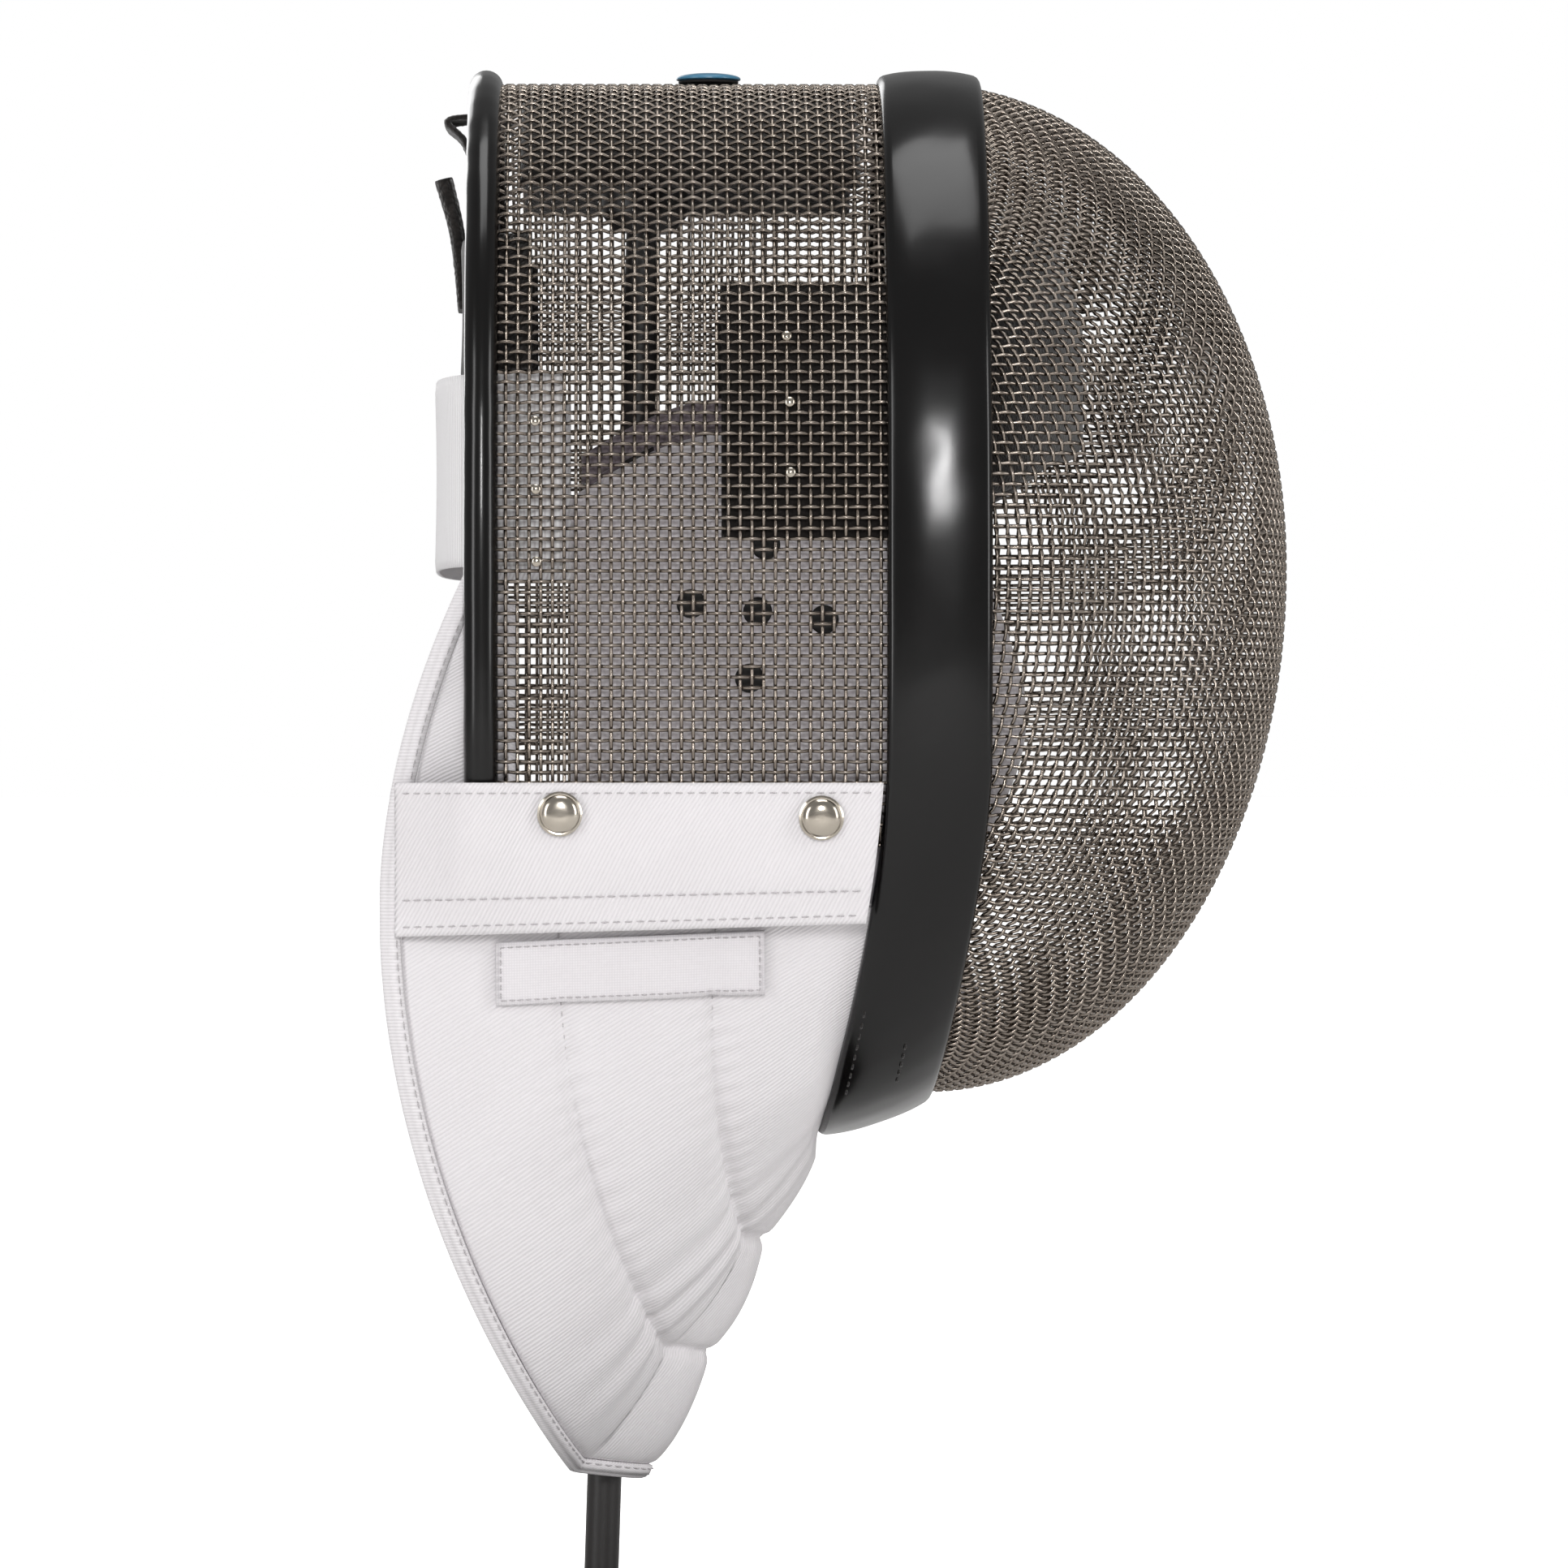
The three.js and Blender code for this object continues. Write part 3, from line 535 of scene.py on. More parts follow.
@dataclass(frozen=True)
class RibbedTape(Finish):
    """Narrow-woven tape or elastic with ribs across or along it."""

    rib: float = 0.9
    across: str = "X"
    depth: float = 0.5
    shadow: str = "#c3bcbb"

    def shader_values(self) -> dict[str, object]:
        """Returns the weak sheen of twisted yarn."""
        return {"Sheen Weight": 0.25, "Specular IOR Level": 0.25}

    def pattern(self, tree: bpy.types.NodeTree) -> tuple[Link | None, Link | None, Link | None]:
        """Returns cords of yarn, darker in the grooves between them."""
        uv = add_node(tree, "ShaderNodeUVMap", {"uv_map": "cloth"})
        ribs = waves(tree, (uv, 0), self.rib, 0, self.across)
        fibre = add_node(tree, "ShaderNodeTexNoise", {}, {"Vector": (uv, 0), "Scale": 1500, "Detail": 2})
        height = add_node(tree, "ShaderNodeMath", {"operation": "MULTIPLY_ADD"}, {
            0: (fibre, "Fac"), 1: 0.4, 2: (ribs, "Fac")})
        bump = add_node(tree, "ShaderNodeBump", {}, {
            "Height": (height, 0), "Strength": self.depth, "Distance": 0.3 * MM})
        return self.shade(tree, (height, 0), self.shadow, self.colour), None, (bump, "Normal")


@dataclass(frozen=True)
class LoopedPile(Finish):
    """Knitted or looped black cloth: a matt tangle of loops about a millimetre across."""

    loop: float = 1.1
    depth: float = 0.8
    # colour of the painted highlight on the loop tops
    light: str = "#2c2826"

    def shader_values(self) -> dict[str, object]:
        """Returns the dusty sheen of loose loops."""
        return {"Sheen Weight": 0.5, "Sheen Roughness": 0.5, "Specular IOR Level": 0.1}

    def pattern(self, tree: bpy.types.NodeTree) -> tuple[Link | None, Link | None, Link | None]:
        """Returns round loops, with a painted highlight on the loop tops and painted shade between them."""
        coords = add_node(tree, "ShaderNodeTexCoord")
        loops = add_node(tree, "ShaderNodeTexVoronoi", {}, {
            "Vector": (coords, "Object"), "Scale": 1 / (self.loop * MM)})
        bump = add_node(tree, "ShaderNodeBump", {"invert": True}, {
            "Height": (loops, "Distance"), "Strength": self.depth, "Distance": 0.5 * MM})
        # painted highlight on the loop tops, painted shade in the hollows between the loops
        return self.shade(tree, (loops, "Distance"), self.light, self.colour), None, (bump, "Normal")


@dataclass(frozen=True)
class PaddedVinyl(Finish):
    """Soft PVC sheet, calendered to a gloss: black, with a clear skin that mirrors the room."""

    grain: float = 2.4

    def shader_values(self) -> dict[str, object]:
        """Returns the clear plasticised skin."""
        return {"IOR": 1.4, "Coat Weight": 0.05, "Coat Roughness": 0.1}

    def pattern(self, tree: bpy.types.NodeTree) -> tuple[Link | None, Link | None, Link | None]:
        """Returns slow dents from the foam below, and duller patches from handling."""
        coords = add_node(tree, "ShaderNodeTexCoord")
        dents = add_node(tree, "ShaderNodeTexNoise", {}, {
            "Vector": (coords, "Object"), "Scale": 1 / (self.grain * 10 * MM), "Detail": 3})
        fine = add_node(tree, "ShaderNodeTexNoise", {}, {
            "Vector": (coords, "Object"), "Scale": 1 / (self.grain * MM), "Detail": 2})
        height = add_node(tree, "ShaderNodeMath", {"operation": "MULTIPLY_ADD"}, {
            0: (fine, "Fac"), 1: 0.06, 2: (dents, "Fac")})
        bump = add_node(tree, "ShaderNodeBump", {}, {
            "Height": (height, 0), "Strength": 0.06, "Distance": 1.2 * MM})
        worn = add_node(tree, "ShaderNodeMapRange", {}, {
            "Value": (dents, "Fac"), "To Min": self.roughness * 0.75, "To Max": self.roughness * 1.35})
        return None, (worn, 0), (bump, "Normal")


@dataclass(frozen=True)
class Metal(Finish):
    """Metal with uneven gloss and a little tarnish."""

    tarnish: str = "#8b8278"
    grain: float = 0.35

    def shader_values(self) -> dict[str, object]:
        """Returns full metal."""
        return {"Metallic": 1.0}

    def pattern(self, tree: bpy.types.NodeTree) -> tuple[Link | None, Link | None, Link | None]:
        """Returns uneven tone and gloss."""
        coords = add_node(tree, "ShaderNodeTexCoord")
        cloud = add_node(tree, "ShaderNodeTexNoise", {}, {
            "Vector": (coords, "Object"), "Scale": 1 / (self.grain * 60 * MM), "Detail": 5})
        gloss = add_node(tree, "ShaderNodeMapRange", {}, {
            "Value": (cloud, "Fac"), "To Min": self.roughness * 0.8, "To Max": self.roughness * 1.25})
        return self.shade(tree, (cloud, "Fac"), self.tarnish, self.colour), (gloss, 0), None


@dataclass(frozen=True)
class Moulded(Finish):
    """Moulded plastic or sprayed paint: even colour over a very fine texture."""

    grit: float = 0.5
    depth: float = 0.08
    metallic: float = 0.0

    def shader_values(self) -> dict[str, object]:
        """Returns typical plastic."""
        return {"IOR": 1.5, "Metallic": self.metallic}

    def pattern(self, tree: bpy.types.NodeTree) -> tuple[Link | None, Link | None, Link | None]:
        """Returns fine grit."""
        coords = add_node(tree, "ShaderNodeTexCoord")
        grit = add_node(tree, "ShaderNodeTexNoise", {}, {
            "Vector": (coords, "Object"), "Scale": 1 / (self.grit * MM), "Detail": 3})
        bump = add_node(tree, "ShaderNodeBump", {}, {
            "Height": (grit, "Fac"), "Strength": self.depth, "Distance": 0.2 * MM})
        worn = add_node(tree, "ShaderNodeMapRange", {}, {
            "Value": (grit, "Fac"), "To Min": self.roughness * 0.85, "To Max": self.roughness * 1.2})
        return None, (worn, 0), (bump, "Normal")


STAINLESS_WIRE = Metal("drawn_stainless_wire", "#a39a91", 0.26, tarnish="#6d635a")
BLACK_VINYL = PaddedVinyl("black_padded_vinyl", "#050404", 0.2)
COTTON_TWILL = WovenCloth("white_cotton_twill", "#e3e0e2", 0.9, yarn=1.0, twill=32, depth=0.45)
COTTON_LINER = WovenCloth("brushed_cotton_liner", "#e2dee1", 0.95, yarn=1.2, depth=0.2, soil="#d3cdd1", fuzz=0.7)
GROSGRAIN = RibbedTape("white_grosgrain_tape", "#e2dfe1", 0.85, rib=0.9, across="X", depth=0.2, shadow="#cfcbcd")
WHITE_ELASTIC = RibbedTape("white_ribbed_elastic", "#ecebec", 0.8, rib=1.4, across="X", depth=0.35, shadow="#cdc9cb")
# the light colours of the looped cloths are painted highlights on their loop tops
GREY_TAPE = LoopedPile("grey_looped_tape", "#5a5257", 0.95, loop=1.3, light="#857b80")
BLACK_PILE = LoopedPile("black_looped_cloth", "#0d0b0a", 0.95, loop=1.2)
BLACK_FOAM = LoopedPile("black_knit_over_foam", "#14110f", 0.9, loop=0.8, depth=0.4, light="#211d1b")
NICKEL = Metal("polished_nickel", "#cdc6bb", 0.17, tarnish="#a2988a")
SATIN = WovenCloth("white_satin_ribbon", "#e4e1e4", 0.45, yarn=0.7, depth=0.12, fuzz=0.1)
BLUE_ABS = Moulded("blue_moulded_abs", "#3f7896", 0.3)
BLACK_WASHER = Moulded("black_rubber_washer", "#151312", 0.7)
STAND_PAINT = Moulded("sprayed_stand_paint", "#161211", 0.42, grit=0.8, depth=0.15)
WHITE_THREAD = RibbedTape("white_sewing_thread", "#c9c5c7", 0.8, rib=0.5, shadow="#9f9a9d")
BLACK_THREAD = RibbedTape("black_sewing_thread", "#17120f", 0.75, rib=0.5, shadow="#0a0807")
STUDIO_PAPER = Moulded("white_studio_paper", "#f6f5f4", 0.9, grit=1.5, depth=0.03)


def dress(piece: bpy.types.Object, finish: Finish, *nodes: str) -> bpy.types.Object:
    """Gives a piece its finish and its place in the frame.

    Args:
        piece: The finished mesh.
        finish: Its material.
        nodes: CAD nodes that it stands for.

    Returns:
        The piece.
    """
    piece.data.materials.clear()
    piece.data.materials.append(finish.make())
    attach(piece, "root")
    if nodes:
        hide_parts(*nodes)
    LOG.info("%s: %d faces", piece.name, len(piece.data.polygons))
    return piece


# ---------------------------------------------------------------- the mask's form


def box_mm(node: str) -> tuple[Array, Array]:
    """Returns a CAD node's lowest and highest corners."""
    low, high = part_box(node)
    return np.array(low) / MM, np.array(high) / MM


@dataclass(frozen=True)
class MaskForm:
    """The wall that everything is fastened to: egg-shaped seen from the front, straight from rim to band."""

    crown_z: float
    half_width: float
    rear_half_width: float
    face_x: float
    face_reach: float
    rim_x: float
    rim_radius: float
    band_rear_x: float
    band_front_x: float
    rise: float = 131.0
    neck_drop: float = 152.6
    chin_drop: float = 142.6
    upper_power: float = 2.1
    lower_power: float = 2.4
    sweep: float = 17.0
    sweep_start_z: float = 250.0
    sweep_end_z: float = 150.0
    sweep_power: float = 1.5
    cloth: float = 2.0

    @classmethod
    def from_frame(cls) -> "MaskForm":
        """Reads the driving sizes from the frame's boxes.

        Returns:
            The form.
        """
        half_cloth = 1.0
        band_width, face_back = 27.7, 98.7
        _, face_high = box_mm("face_mesh")
        rim_low, rim_high = box_mm("rear_rim")
        _, band_high = box_mm("trim_band")
        rim_radius = (rim_high[0] - rim_low[0]) / 2
        return cls(
            crown_z=face_high[2] - half_cloth, half_width=face_high[1] - half_cloth,
            rear_half_width=rim_high[1] - rim_radius, face_x=face_high[0] - face_back,
            face_reach=face_back - half_cloth - 0.3, rim_x=(rim_low[0] + rim_high[0]) / 2,
            rim_radius=rim_radius, band_rear_x=band_high[0] - band_width, band_front_x=band_high[0])

    @property
    def widest_z(self) -> float:
        """Returns the height of the widest section."""
        return self.crown_z - self.rise

    def sweep_back(self, z: Array) -> Array:
        """Returns how far the band lies further back at a height."""
        return self.sweep * share(self.sweep_start_z - np.asarray(z), 0,
                                  self.sweep_start_z - self.sweep_end_z) ** self.sweep_power

    def drop_at(self, x: Array) -> Array:
        """Returns the drop from the widest line to the bottom of the outline."""
        return mix(self.neck_drop, self.chin_drop, share(x, self.band_rear_x, self.band_front_x))

    def width_at(self, x: Array) -> Array:
        """Returns half the greatest width."""
        return mix(self.rear_half_width, self.half_width, share(x, self.rim_x, self.face_x))

    def outline(self, angle: Array, x: Array, inward: Array | float = 0.0, drop: Array | None = None) -> Array:
        """Points of the wall's outline.

        Args:
            angle: 0 at the crown, pi at the chin.
            x: Place along the mask.
            inward: Distance towards the head.
            drop: Height below the widest line, from x if not given.

        Returns:
            Points by the shape of angle and x.
        """
        angle, x = np.broadcast_arrays(np.asarray(angle, float), np.asarray(x, float))
        drop = self.drop_at(x) if drop is None else drop
        c, s = np.cos(angle), np.sin(angle)
        power = np.where(c >= 0, 2 / self.upper_power, 2 / self.lower_power)
        tall = np.where(c >= 0, self.rise, drop) - inward
        y = (self.width_at(x) - inward) * np.sign(s) * np.abs(s) ** power
        return np.stack([x, y, self.widest_z + tall * np.sign(c) * np.abs(c) ** power], -1)

    def half_width_at(self, x: Array, z: Array, inward: Array | float = 0.0,
                      drop: Array | None = None) -> Array:
        """Returns half the wall's width at a place and height."""
        x, z = np.broadcast_arrays(np.asarray(x, float), np.asarray(z, float))
        up = z >= self.widest_z
        drop = self.drop_at(x) if drop is None else drop
        power = np.where(up, self.upper_power, self.lower_power)
        tall = np.where(up, self.rise, drop) - inward
        part = np.clip(np.abs(z - self.widest_z) / tall, 0, 1)
        return (self.width_at(x) - inward) * (1 - part**power) ** (1 / power)

    def angle_at(self, z: float, drop: float | None = None) -> float:
        """Returns the outline's angle at a height, on the wearer's left."""
        up = z >= self.widest_z
        tall = self.rise if up else (drop or self.neck_drop)
        part = min(1.0, abs(z - self.widest_z) / tall)
        c = part ** ((self.upper_power if up else self.lower_power) / 2)
        return math.acos(c if up else -c)

    def wall_normal(self, angle: Array, x: Array) -> Array:
        """Returns the outward direction of the side wall."""
        step = 1e-3
        ahead = self.outline(angle + step, x, 0, self.neck_drop)
        along = unit(ahead - self.outline(angle - step, x, 0, self.neck_drop))
        return unit(np.stack([np.zeros_like(along[..., 0]), -along[..., 2], along[..., 1]], -1))

    def side_point(self, x: Array, z: Array, side: Side, inward: float = 0.0) -> Array:
        """Returns a point of the side wall at a place and height."""
        y = side.value * self.half_width_at(x, z, inward, self.neck_drop)
        x, y, z = np.broadcast_arrays(np.asarray(x, float), y, np.asarray(z, float))
        return np.stack([x, y, z], -1)

    def side_normal(self, x: Array, z: Array, side: Side) -> Array:
        """Returns the outward direction of the side wall at a place and height."""
        step = 0.5
        up, down = self.half_width_at(x, np.asarray(z) + step), self.half_width_at(x, np.asarray(z) - step)
        slope = (up - down) / (2 * step)
        flat = np.zeros_like(slope)
        return unit(np.stack([flat, np.full_like(slope, side.value), -slope], -1))


# ---------------------------------------------------------------- wire cloth


@dataclass
class WireCloth:
    """Plain-woven wire: a curved side sheet and a face pressed out of a flat sheet."""

    form: MaskForm
    wire: float = 0.5  # radius
    pitch_x: float = 3.08
    pitch_arc: float = 2.79
    lowest_z: float = 228.0
    under_band: float = 5.0
    sides: int = 5

    def woven(self, crossings: Array, normals: Array, start_over: Array, name: str) -> bpy.types.Object:
        """Wires that pass over and under the ones they cross.

        Args:
            crossings: One wire a row, with a point at each crossing, and NaN where there is none.
            normals: Outward direction at each crossing.
            start_over: 1 or -1 for each wire, whether its first crossing is over or under.
            name: Name of the piece.

        Returns:
            The piece.
        """
        parts = MeshParts()
        for points, outs, first in zip(crossings, normals, start_over):
            for run in self.runs(np.isfinite(points[:, 0])):
                if len(run) < 3:
                    continue
                line, out = points[run], outs[run]
                lift = first * np.where(run % 2 == 0, 1.0, -1.0) * self.wire
                raised = line + out * lift[:, None]
                back = np.vstack([line[:1] - (line[1] - line[0]), line[:-1]])
                ahead = np.vstack([line[1:], line[-1:] + (line[-1] - line[-2])])
                before = raised + 0.24 * (back - line)
                after = raised + 0.24 * (ahead - line)
                samples = np.stack([before, after], 1).reshape(-1, 3)
                parts.add_tube(samples, np.repeat(out, 2, 0), self.wire, self.sides)
        return parts.build(name)

    @staticmethod
    def runs(valid: Array) -> list[Array]:
        """Returns the stretches of a wire that exist, as indices."""
        found = np.flatnonzero(valid)
        return np.split(found, np.flatnonzero(np.diff(found) > 1) + 1) if len(found) else []

    def side_sheet(self) -> list[bpy.types.Object]:
        """Builds the inverted U between rim and band, one piece for each set of wires."""
        form = self.form
        end = form.angle_at(self.lowest_z)
        fine = np.linspace(-end, end, 2400)
        middle = np.full_like(fine, (form.rim_x + form.face_x) / 2)
        arc = running_length(form.outline(fine, middle, 0, form.neck_drop), 0)
        count = int(arc[-1] / self.pitch_arc)
        angles = np.interp((np.arange(count + 1) - count / 2) * self.pitch_arc + arc[-1] / 2, arc, fine)
        xs = np.arange(form.rim_x + form.rim_radius - 1.2, form.band_rear_x + self.under_band, self.pitch_x)
        ring, row = np.meshgrid(xs, angles, indexing="ij")
        points = form.outline(row, ring, 0, form.neck_drop)
        swept = form.sweep_back(points[..., 2])
        points[ring > form.band_rear_x + self.under_band - swept] = np.nan
        normals = form.wall_normal(row, ring)
        turn_x = np.where(np.arange(len(xs)) % 2 == 0, 1.0, -1.0)
        turn_a = np.where(np.arange(len(angles)) % 2 == 0, -1.0, 1.0)
        over = self.woven(points, normals, turn_x, "side_wires_upright")
        along = self.woven(points.transpose(1, 0, 2), normals.transpose(1, 0, 2), turn_a, "side_wires_lengthwise")
        return [over, along]

    def face_level(self, p: Array) -> Array:
        """Returns zero on the face's surface and a positive value outside it."""
        form = self.form
        up = p[..., 2] >= form.widest_z
        power = np.where(up, form.upper_power, form.lower_power)
        tall = np.where(up, form.rise, form.chin_drop)
        a = np.maximum(np.abs(p[..., 1]) / form.half_width, 1e-6)
        b = np.maximum(np.abs(p[..., 2] - form.widest_z) / tall, 1e-6)
        return (a**power + b**power) ** (2 / power) + ((p[..., 0] - form.face_x) / form.face_reach) ** 2 - 1

    def face_normal(self, p: Array) -> Array:
        """Returns the outward direction of the face."""
        step = 1e-3
        axes = np.eye(3) * step
        slopes = [self.face_level(p + axis) - self.face_level(p - axis) for axis in axes]
        return np.stack(slopes, -1) / (2 * step)

    def net(self) -> tuple[Array, Array]:
        """The pressed sheet: a net whose cells keep their side lengths on the curved face.

        Returns:
            Crossings by column and row, NaN where the sheet is cut off, and outward directions.
        """
        form = self.form
        reach = int(210 / self.pitch_arc)
        size = 2 * reach + 1
        grid = np.full((size, size, 3), np.nan)
        turn = np.linspace(0, 2.2, 4000)
        for steps, sign, flat in ((self.pitch_x, 1, True), (self.pitch_x, -1, True),
                                  (self.pitch_arc, 1, False), (self.pitch_arc, -1, False)):
            tall = form.half_width if flat else (form.rise if sign > 0 else form.chin_drop)
            line = np.zeros((len(turn), 3))
            line[:, 0] = form.face_x + form.face_reach * np.cos(turn)
            line[:, 1 if flat else 2] = sign * tall * np.sin(turn)
            line[:, 2] += form.widest_z
            arc = running_length(line, 0)
            stops = np.arange(reach + 1) * steps
            keep = stops < arc[-1]
            places = at_index(line, np.interp(stops[keep], arc, np.arange(len(arc))))
            index = reach + sign * np.arange(keep.sum())
            grid[index if flat else reach, reach if flat else index] = places
        for sx in (1, -1):
            for sz in (1, -1):
                self.fill_quarter(grid, reach, sx, sz)
        normals = unit(self.face_normal(np.nan_to_num(grid)))
        low_x = form.band_front_x - self.under_band - form.sweep_back(grid[..., 2])
        grid[~(grid[..., 0] > low_x)] = np.nan
        return grid, normals

    def fill_quarter(self, grid: Array, reach: int, sx: int, sz: int) -> None:
        """Solves one quarter of the net, a diagonal at a time.

        Args:
            grid: The net, with its two middle lines known.
            reach: Index of the middle.
            sx: Direction of the columns.
            sz: Direction of the rows.
        """
        for total in range(2, 2 * reach + 1):
            i = np.arange(max(1, total - reach), min(reach, total - 1) + 1)
            j = total - i
            left = grid[reach + sx * (i - 1), reach + sz * j]
            below = grid[reach + sx * i, reach + sz * (j - 1)]
            corner = grid[reach + sx * (i - 1), reach + sz * (j - 1)]
            good = np.isfinite(left[:, 0]) & np.isfinite(below[:, 0]) & np.isfinite(corner[:, 0])
            if not good.any():
                continue
            i, j, left, below, corner = i[good], j[good], left[good], below[good], corner[good]
            p = left + below - corner
            for _ in range(12):
                wrong = np.stack([
                    ((p - left) ** 2).sum(1) - self.pitch_x**2,
                    ((p - below) ** 2).sum(1) - self.pitch_arc**2,
                    self.face_level(p) * 1000], -1)
                slope = np.stack([2 * (p - left), 2 * (p - below), self.face_normal(p) * 1000], 1)
                safe = np.abs(np.linalg.det(slope)) > 1e-3
                move = np.zeros_like(p)
                move[safe] = np.linalg.solve(slope[safe], -wrong[safe][..., None])[..., 0]
                p = p + np.clip(move, -2, 2)
            held = (np.abs(((p - left) ** 2).sum(1) - self.pitch_x**2) < 0.05) & (p[:, 0] > self.form.face_x - 30)
            angle = (unit(p - left) * unit(p - below)).sum(1)
            held &= (np.abs(angle) < 0.93) & (np.linalg.norm(p - corner, axis=1) > 1.2)
            grid[reach + sx * i[held], reach + sz * j[held]] = p[held]

    def face_sheet(self) -> list[bpy.types.Object]:
        """Builds the pressed face, one piece for each set of wires."""
        points, normals = self.net()
        turn = np.where(np.arange(points.shape[0]) % 2 == 0, 1.0, -1.0)
        upright = self.woven(points, normals, turn, "face_wires_upright")
        level = self.woven(points.transpose(1, 0, 2), normals.transpose(1, 0, 2), -turn, "face_wires_level")
        return [upright, level]

    def build(self) -> None:
        """Makes and dresses both sheets."""
        for piece in self.side_sheet():
            dress(piece, STAINLESS_WIRE, "side_mesh")
        for piece in self.face_sheet():
            dress(piece, STAINLESS_WIRE, "face_mesh")


# ---------------------------------------------------------------- vinyl trim


@dataclass
class VinylTrim:
    """The padded band over the joint of the two wire sheets, and the covered rim behind."""

    form: MaskForm
    crown: float = 3.3
    edge: float = 1.5
    around: int = 240
    across: int = 20
    rim_bottom_z: float = 219.0

    def band_lines(self, angle: Array) -> tuple[Array, Array, Array]:
        """Rear edge, front edge and outward direction of the band.

        Args:
            angle: Angles round the outline.

        Returns:
            Three arrays of points or directions.
        """
        form = self.form

        def swept(a: Array, x: float, drop: float) -> Array:
            """Returns an edge, run back below the cheek."""
            points = form.outline(a, np.full_like(a, x), 0, drop)
            points[:, 0] -= form.sweep_back(points[:, 2])
            return points

        rear = swept(angle, form.band_rear_x, form.neck_drop)
        front = swept(angle, form.band_front_x, form.chin_drop)
        step = 0.01
        along = swept(angle + step, form.band_rear_x, form.neck_drop)
        along = along - swept(angle - step, form.band_rear_x, form.neck_drop)
        out = unit(np.cross(along, front - rear))
        away = out[:, 1] * rear[:, 1] + out[:, 2] * (rear[:, 2] - form.widest_z)
        return rear, front, out * np.where(away < 0, -1, 1)[:, None]

    def band(self) -> bpy.types.Object:
        """Builds the band: soft top, turned edges, slow dents where the foam has settled."""
        angle = np.arange(self.around) * 2 * math.pi / self.around
        rear, front, out = self.band_lines(angle)
        t = 0.5 - 0.5 * np.cos(np.linspace(0, math.pi, self.across + 1))
        arch = 1 - np.abs(2 * t - 1) ** 2.6
        roll = np.sqrt(np.clip(1 - (1 - np.minimum(t, 1 - t) / 0.05) ** 2 * (np.minimum(t, 1 - t) < 0.05), 0, 1))
        seat = self.form.cloth / 2 + GAP
        dents = 0.04 * ripple(angle[:, None] * 7, t[None] * 1.5, 4) * arch
        height = seat + (self.edge + (self.crown - self.edge) * arch) * np.maximum(roll, 0.1) + dents
        base = mix(rear[:, None], front[:, None], t[None, :, None])
        outer = base + out[:, None] * height[..., None]
        lip = 2.4 * np.exp(-(((1 - t) / 0.06) ** 2)) + 1.0 * np.exp(-((t / 0.06) ** 2))
        inner = base + out[:, None] * (seat - lip)[None, :, None]
        return layered(outer, inner, loop_rows=True).build("trim_band_cover")

    def band_threads(self) -> bpy.types.Object:
        """Builds the black stitches where the lining is tied in."""
        form = self.form
        parts = MeshParts()
        sewn = Stitching(2.6, 1.2, 0.32)
        for side in Side:
            low, high = form.angle_at(186, form.neck_drop), form.angle_at(163, form.neck_drop)
            for offset, first, last in ((0.1, 0.0, 1.0), (0.55, 0.45, 1.0)):
                angle = side.value * mix(low, high, np.linspace(first, last, 60))
                rear, front, out = self.band_lines(angle)
                arch = 1 - np.abs(2 * offset - 1) ** 2.6
                top = form.cloth / 2 + GAP + self.edge + (self.crown - self.edge) * arch
                sewn.add(parts, mix(rear, front, offset) + out * (top - 0.15), out)
        return parts.build("trim_band_threads")

    def rim(self) -> bpy.types.Object:
        """Builds the rim's tube of vinyl."""
        form = self.form
        end = form.angle_at(self.rim_bottom_z)
        angle = np.linspace(-end, end, 200)
        line = form.outline(angle, np.full_like(angle, form.rim_x), 0, form.neck_drop)
        normals = form.wall_normal(angle, np.full_like(angle, form.rim_x))
        radius = form.rim_radius * (1 - 0.012 * (1 + ripple(angle * 9, angle * 0, 8)))
        parts = MeshParts()
        parts.add_tube(line, normals, radius, 28)
        return parts.build("rear_rim_cover")

    def build(self) -> None:
        """Makes and dresses the trim."""
        dress(self.band(), BLACK_VINYL, "trim_band")
        dress(self.band_threads(), BLACK_THREAD)
        dress(self.rim(), BLACK_VINYL, "rear_rim")


# ---------------------------------------------------------------- padding inside


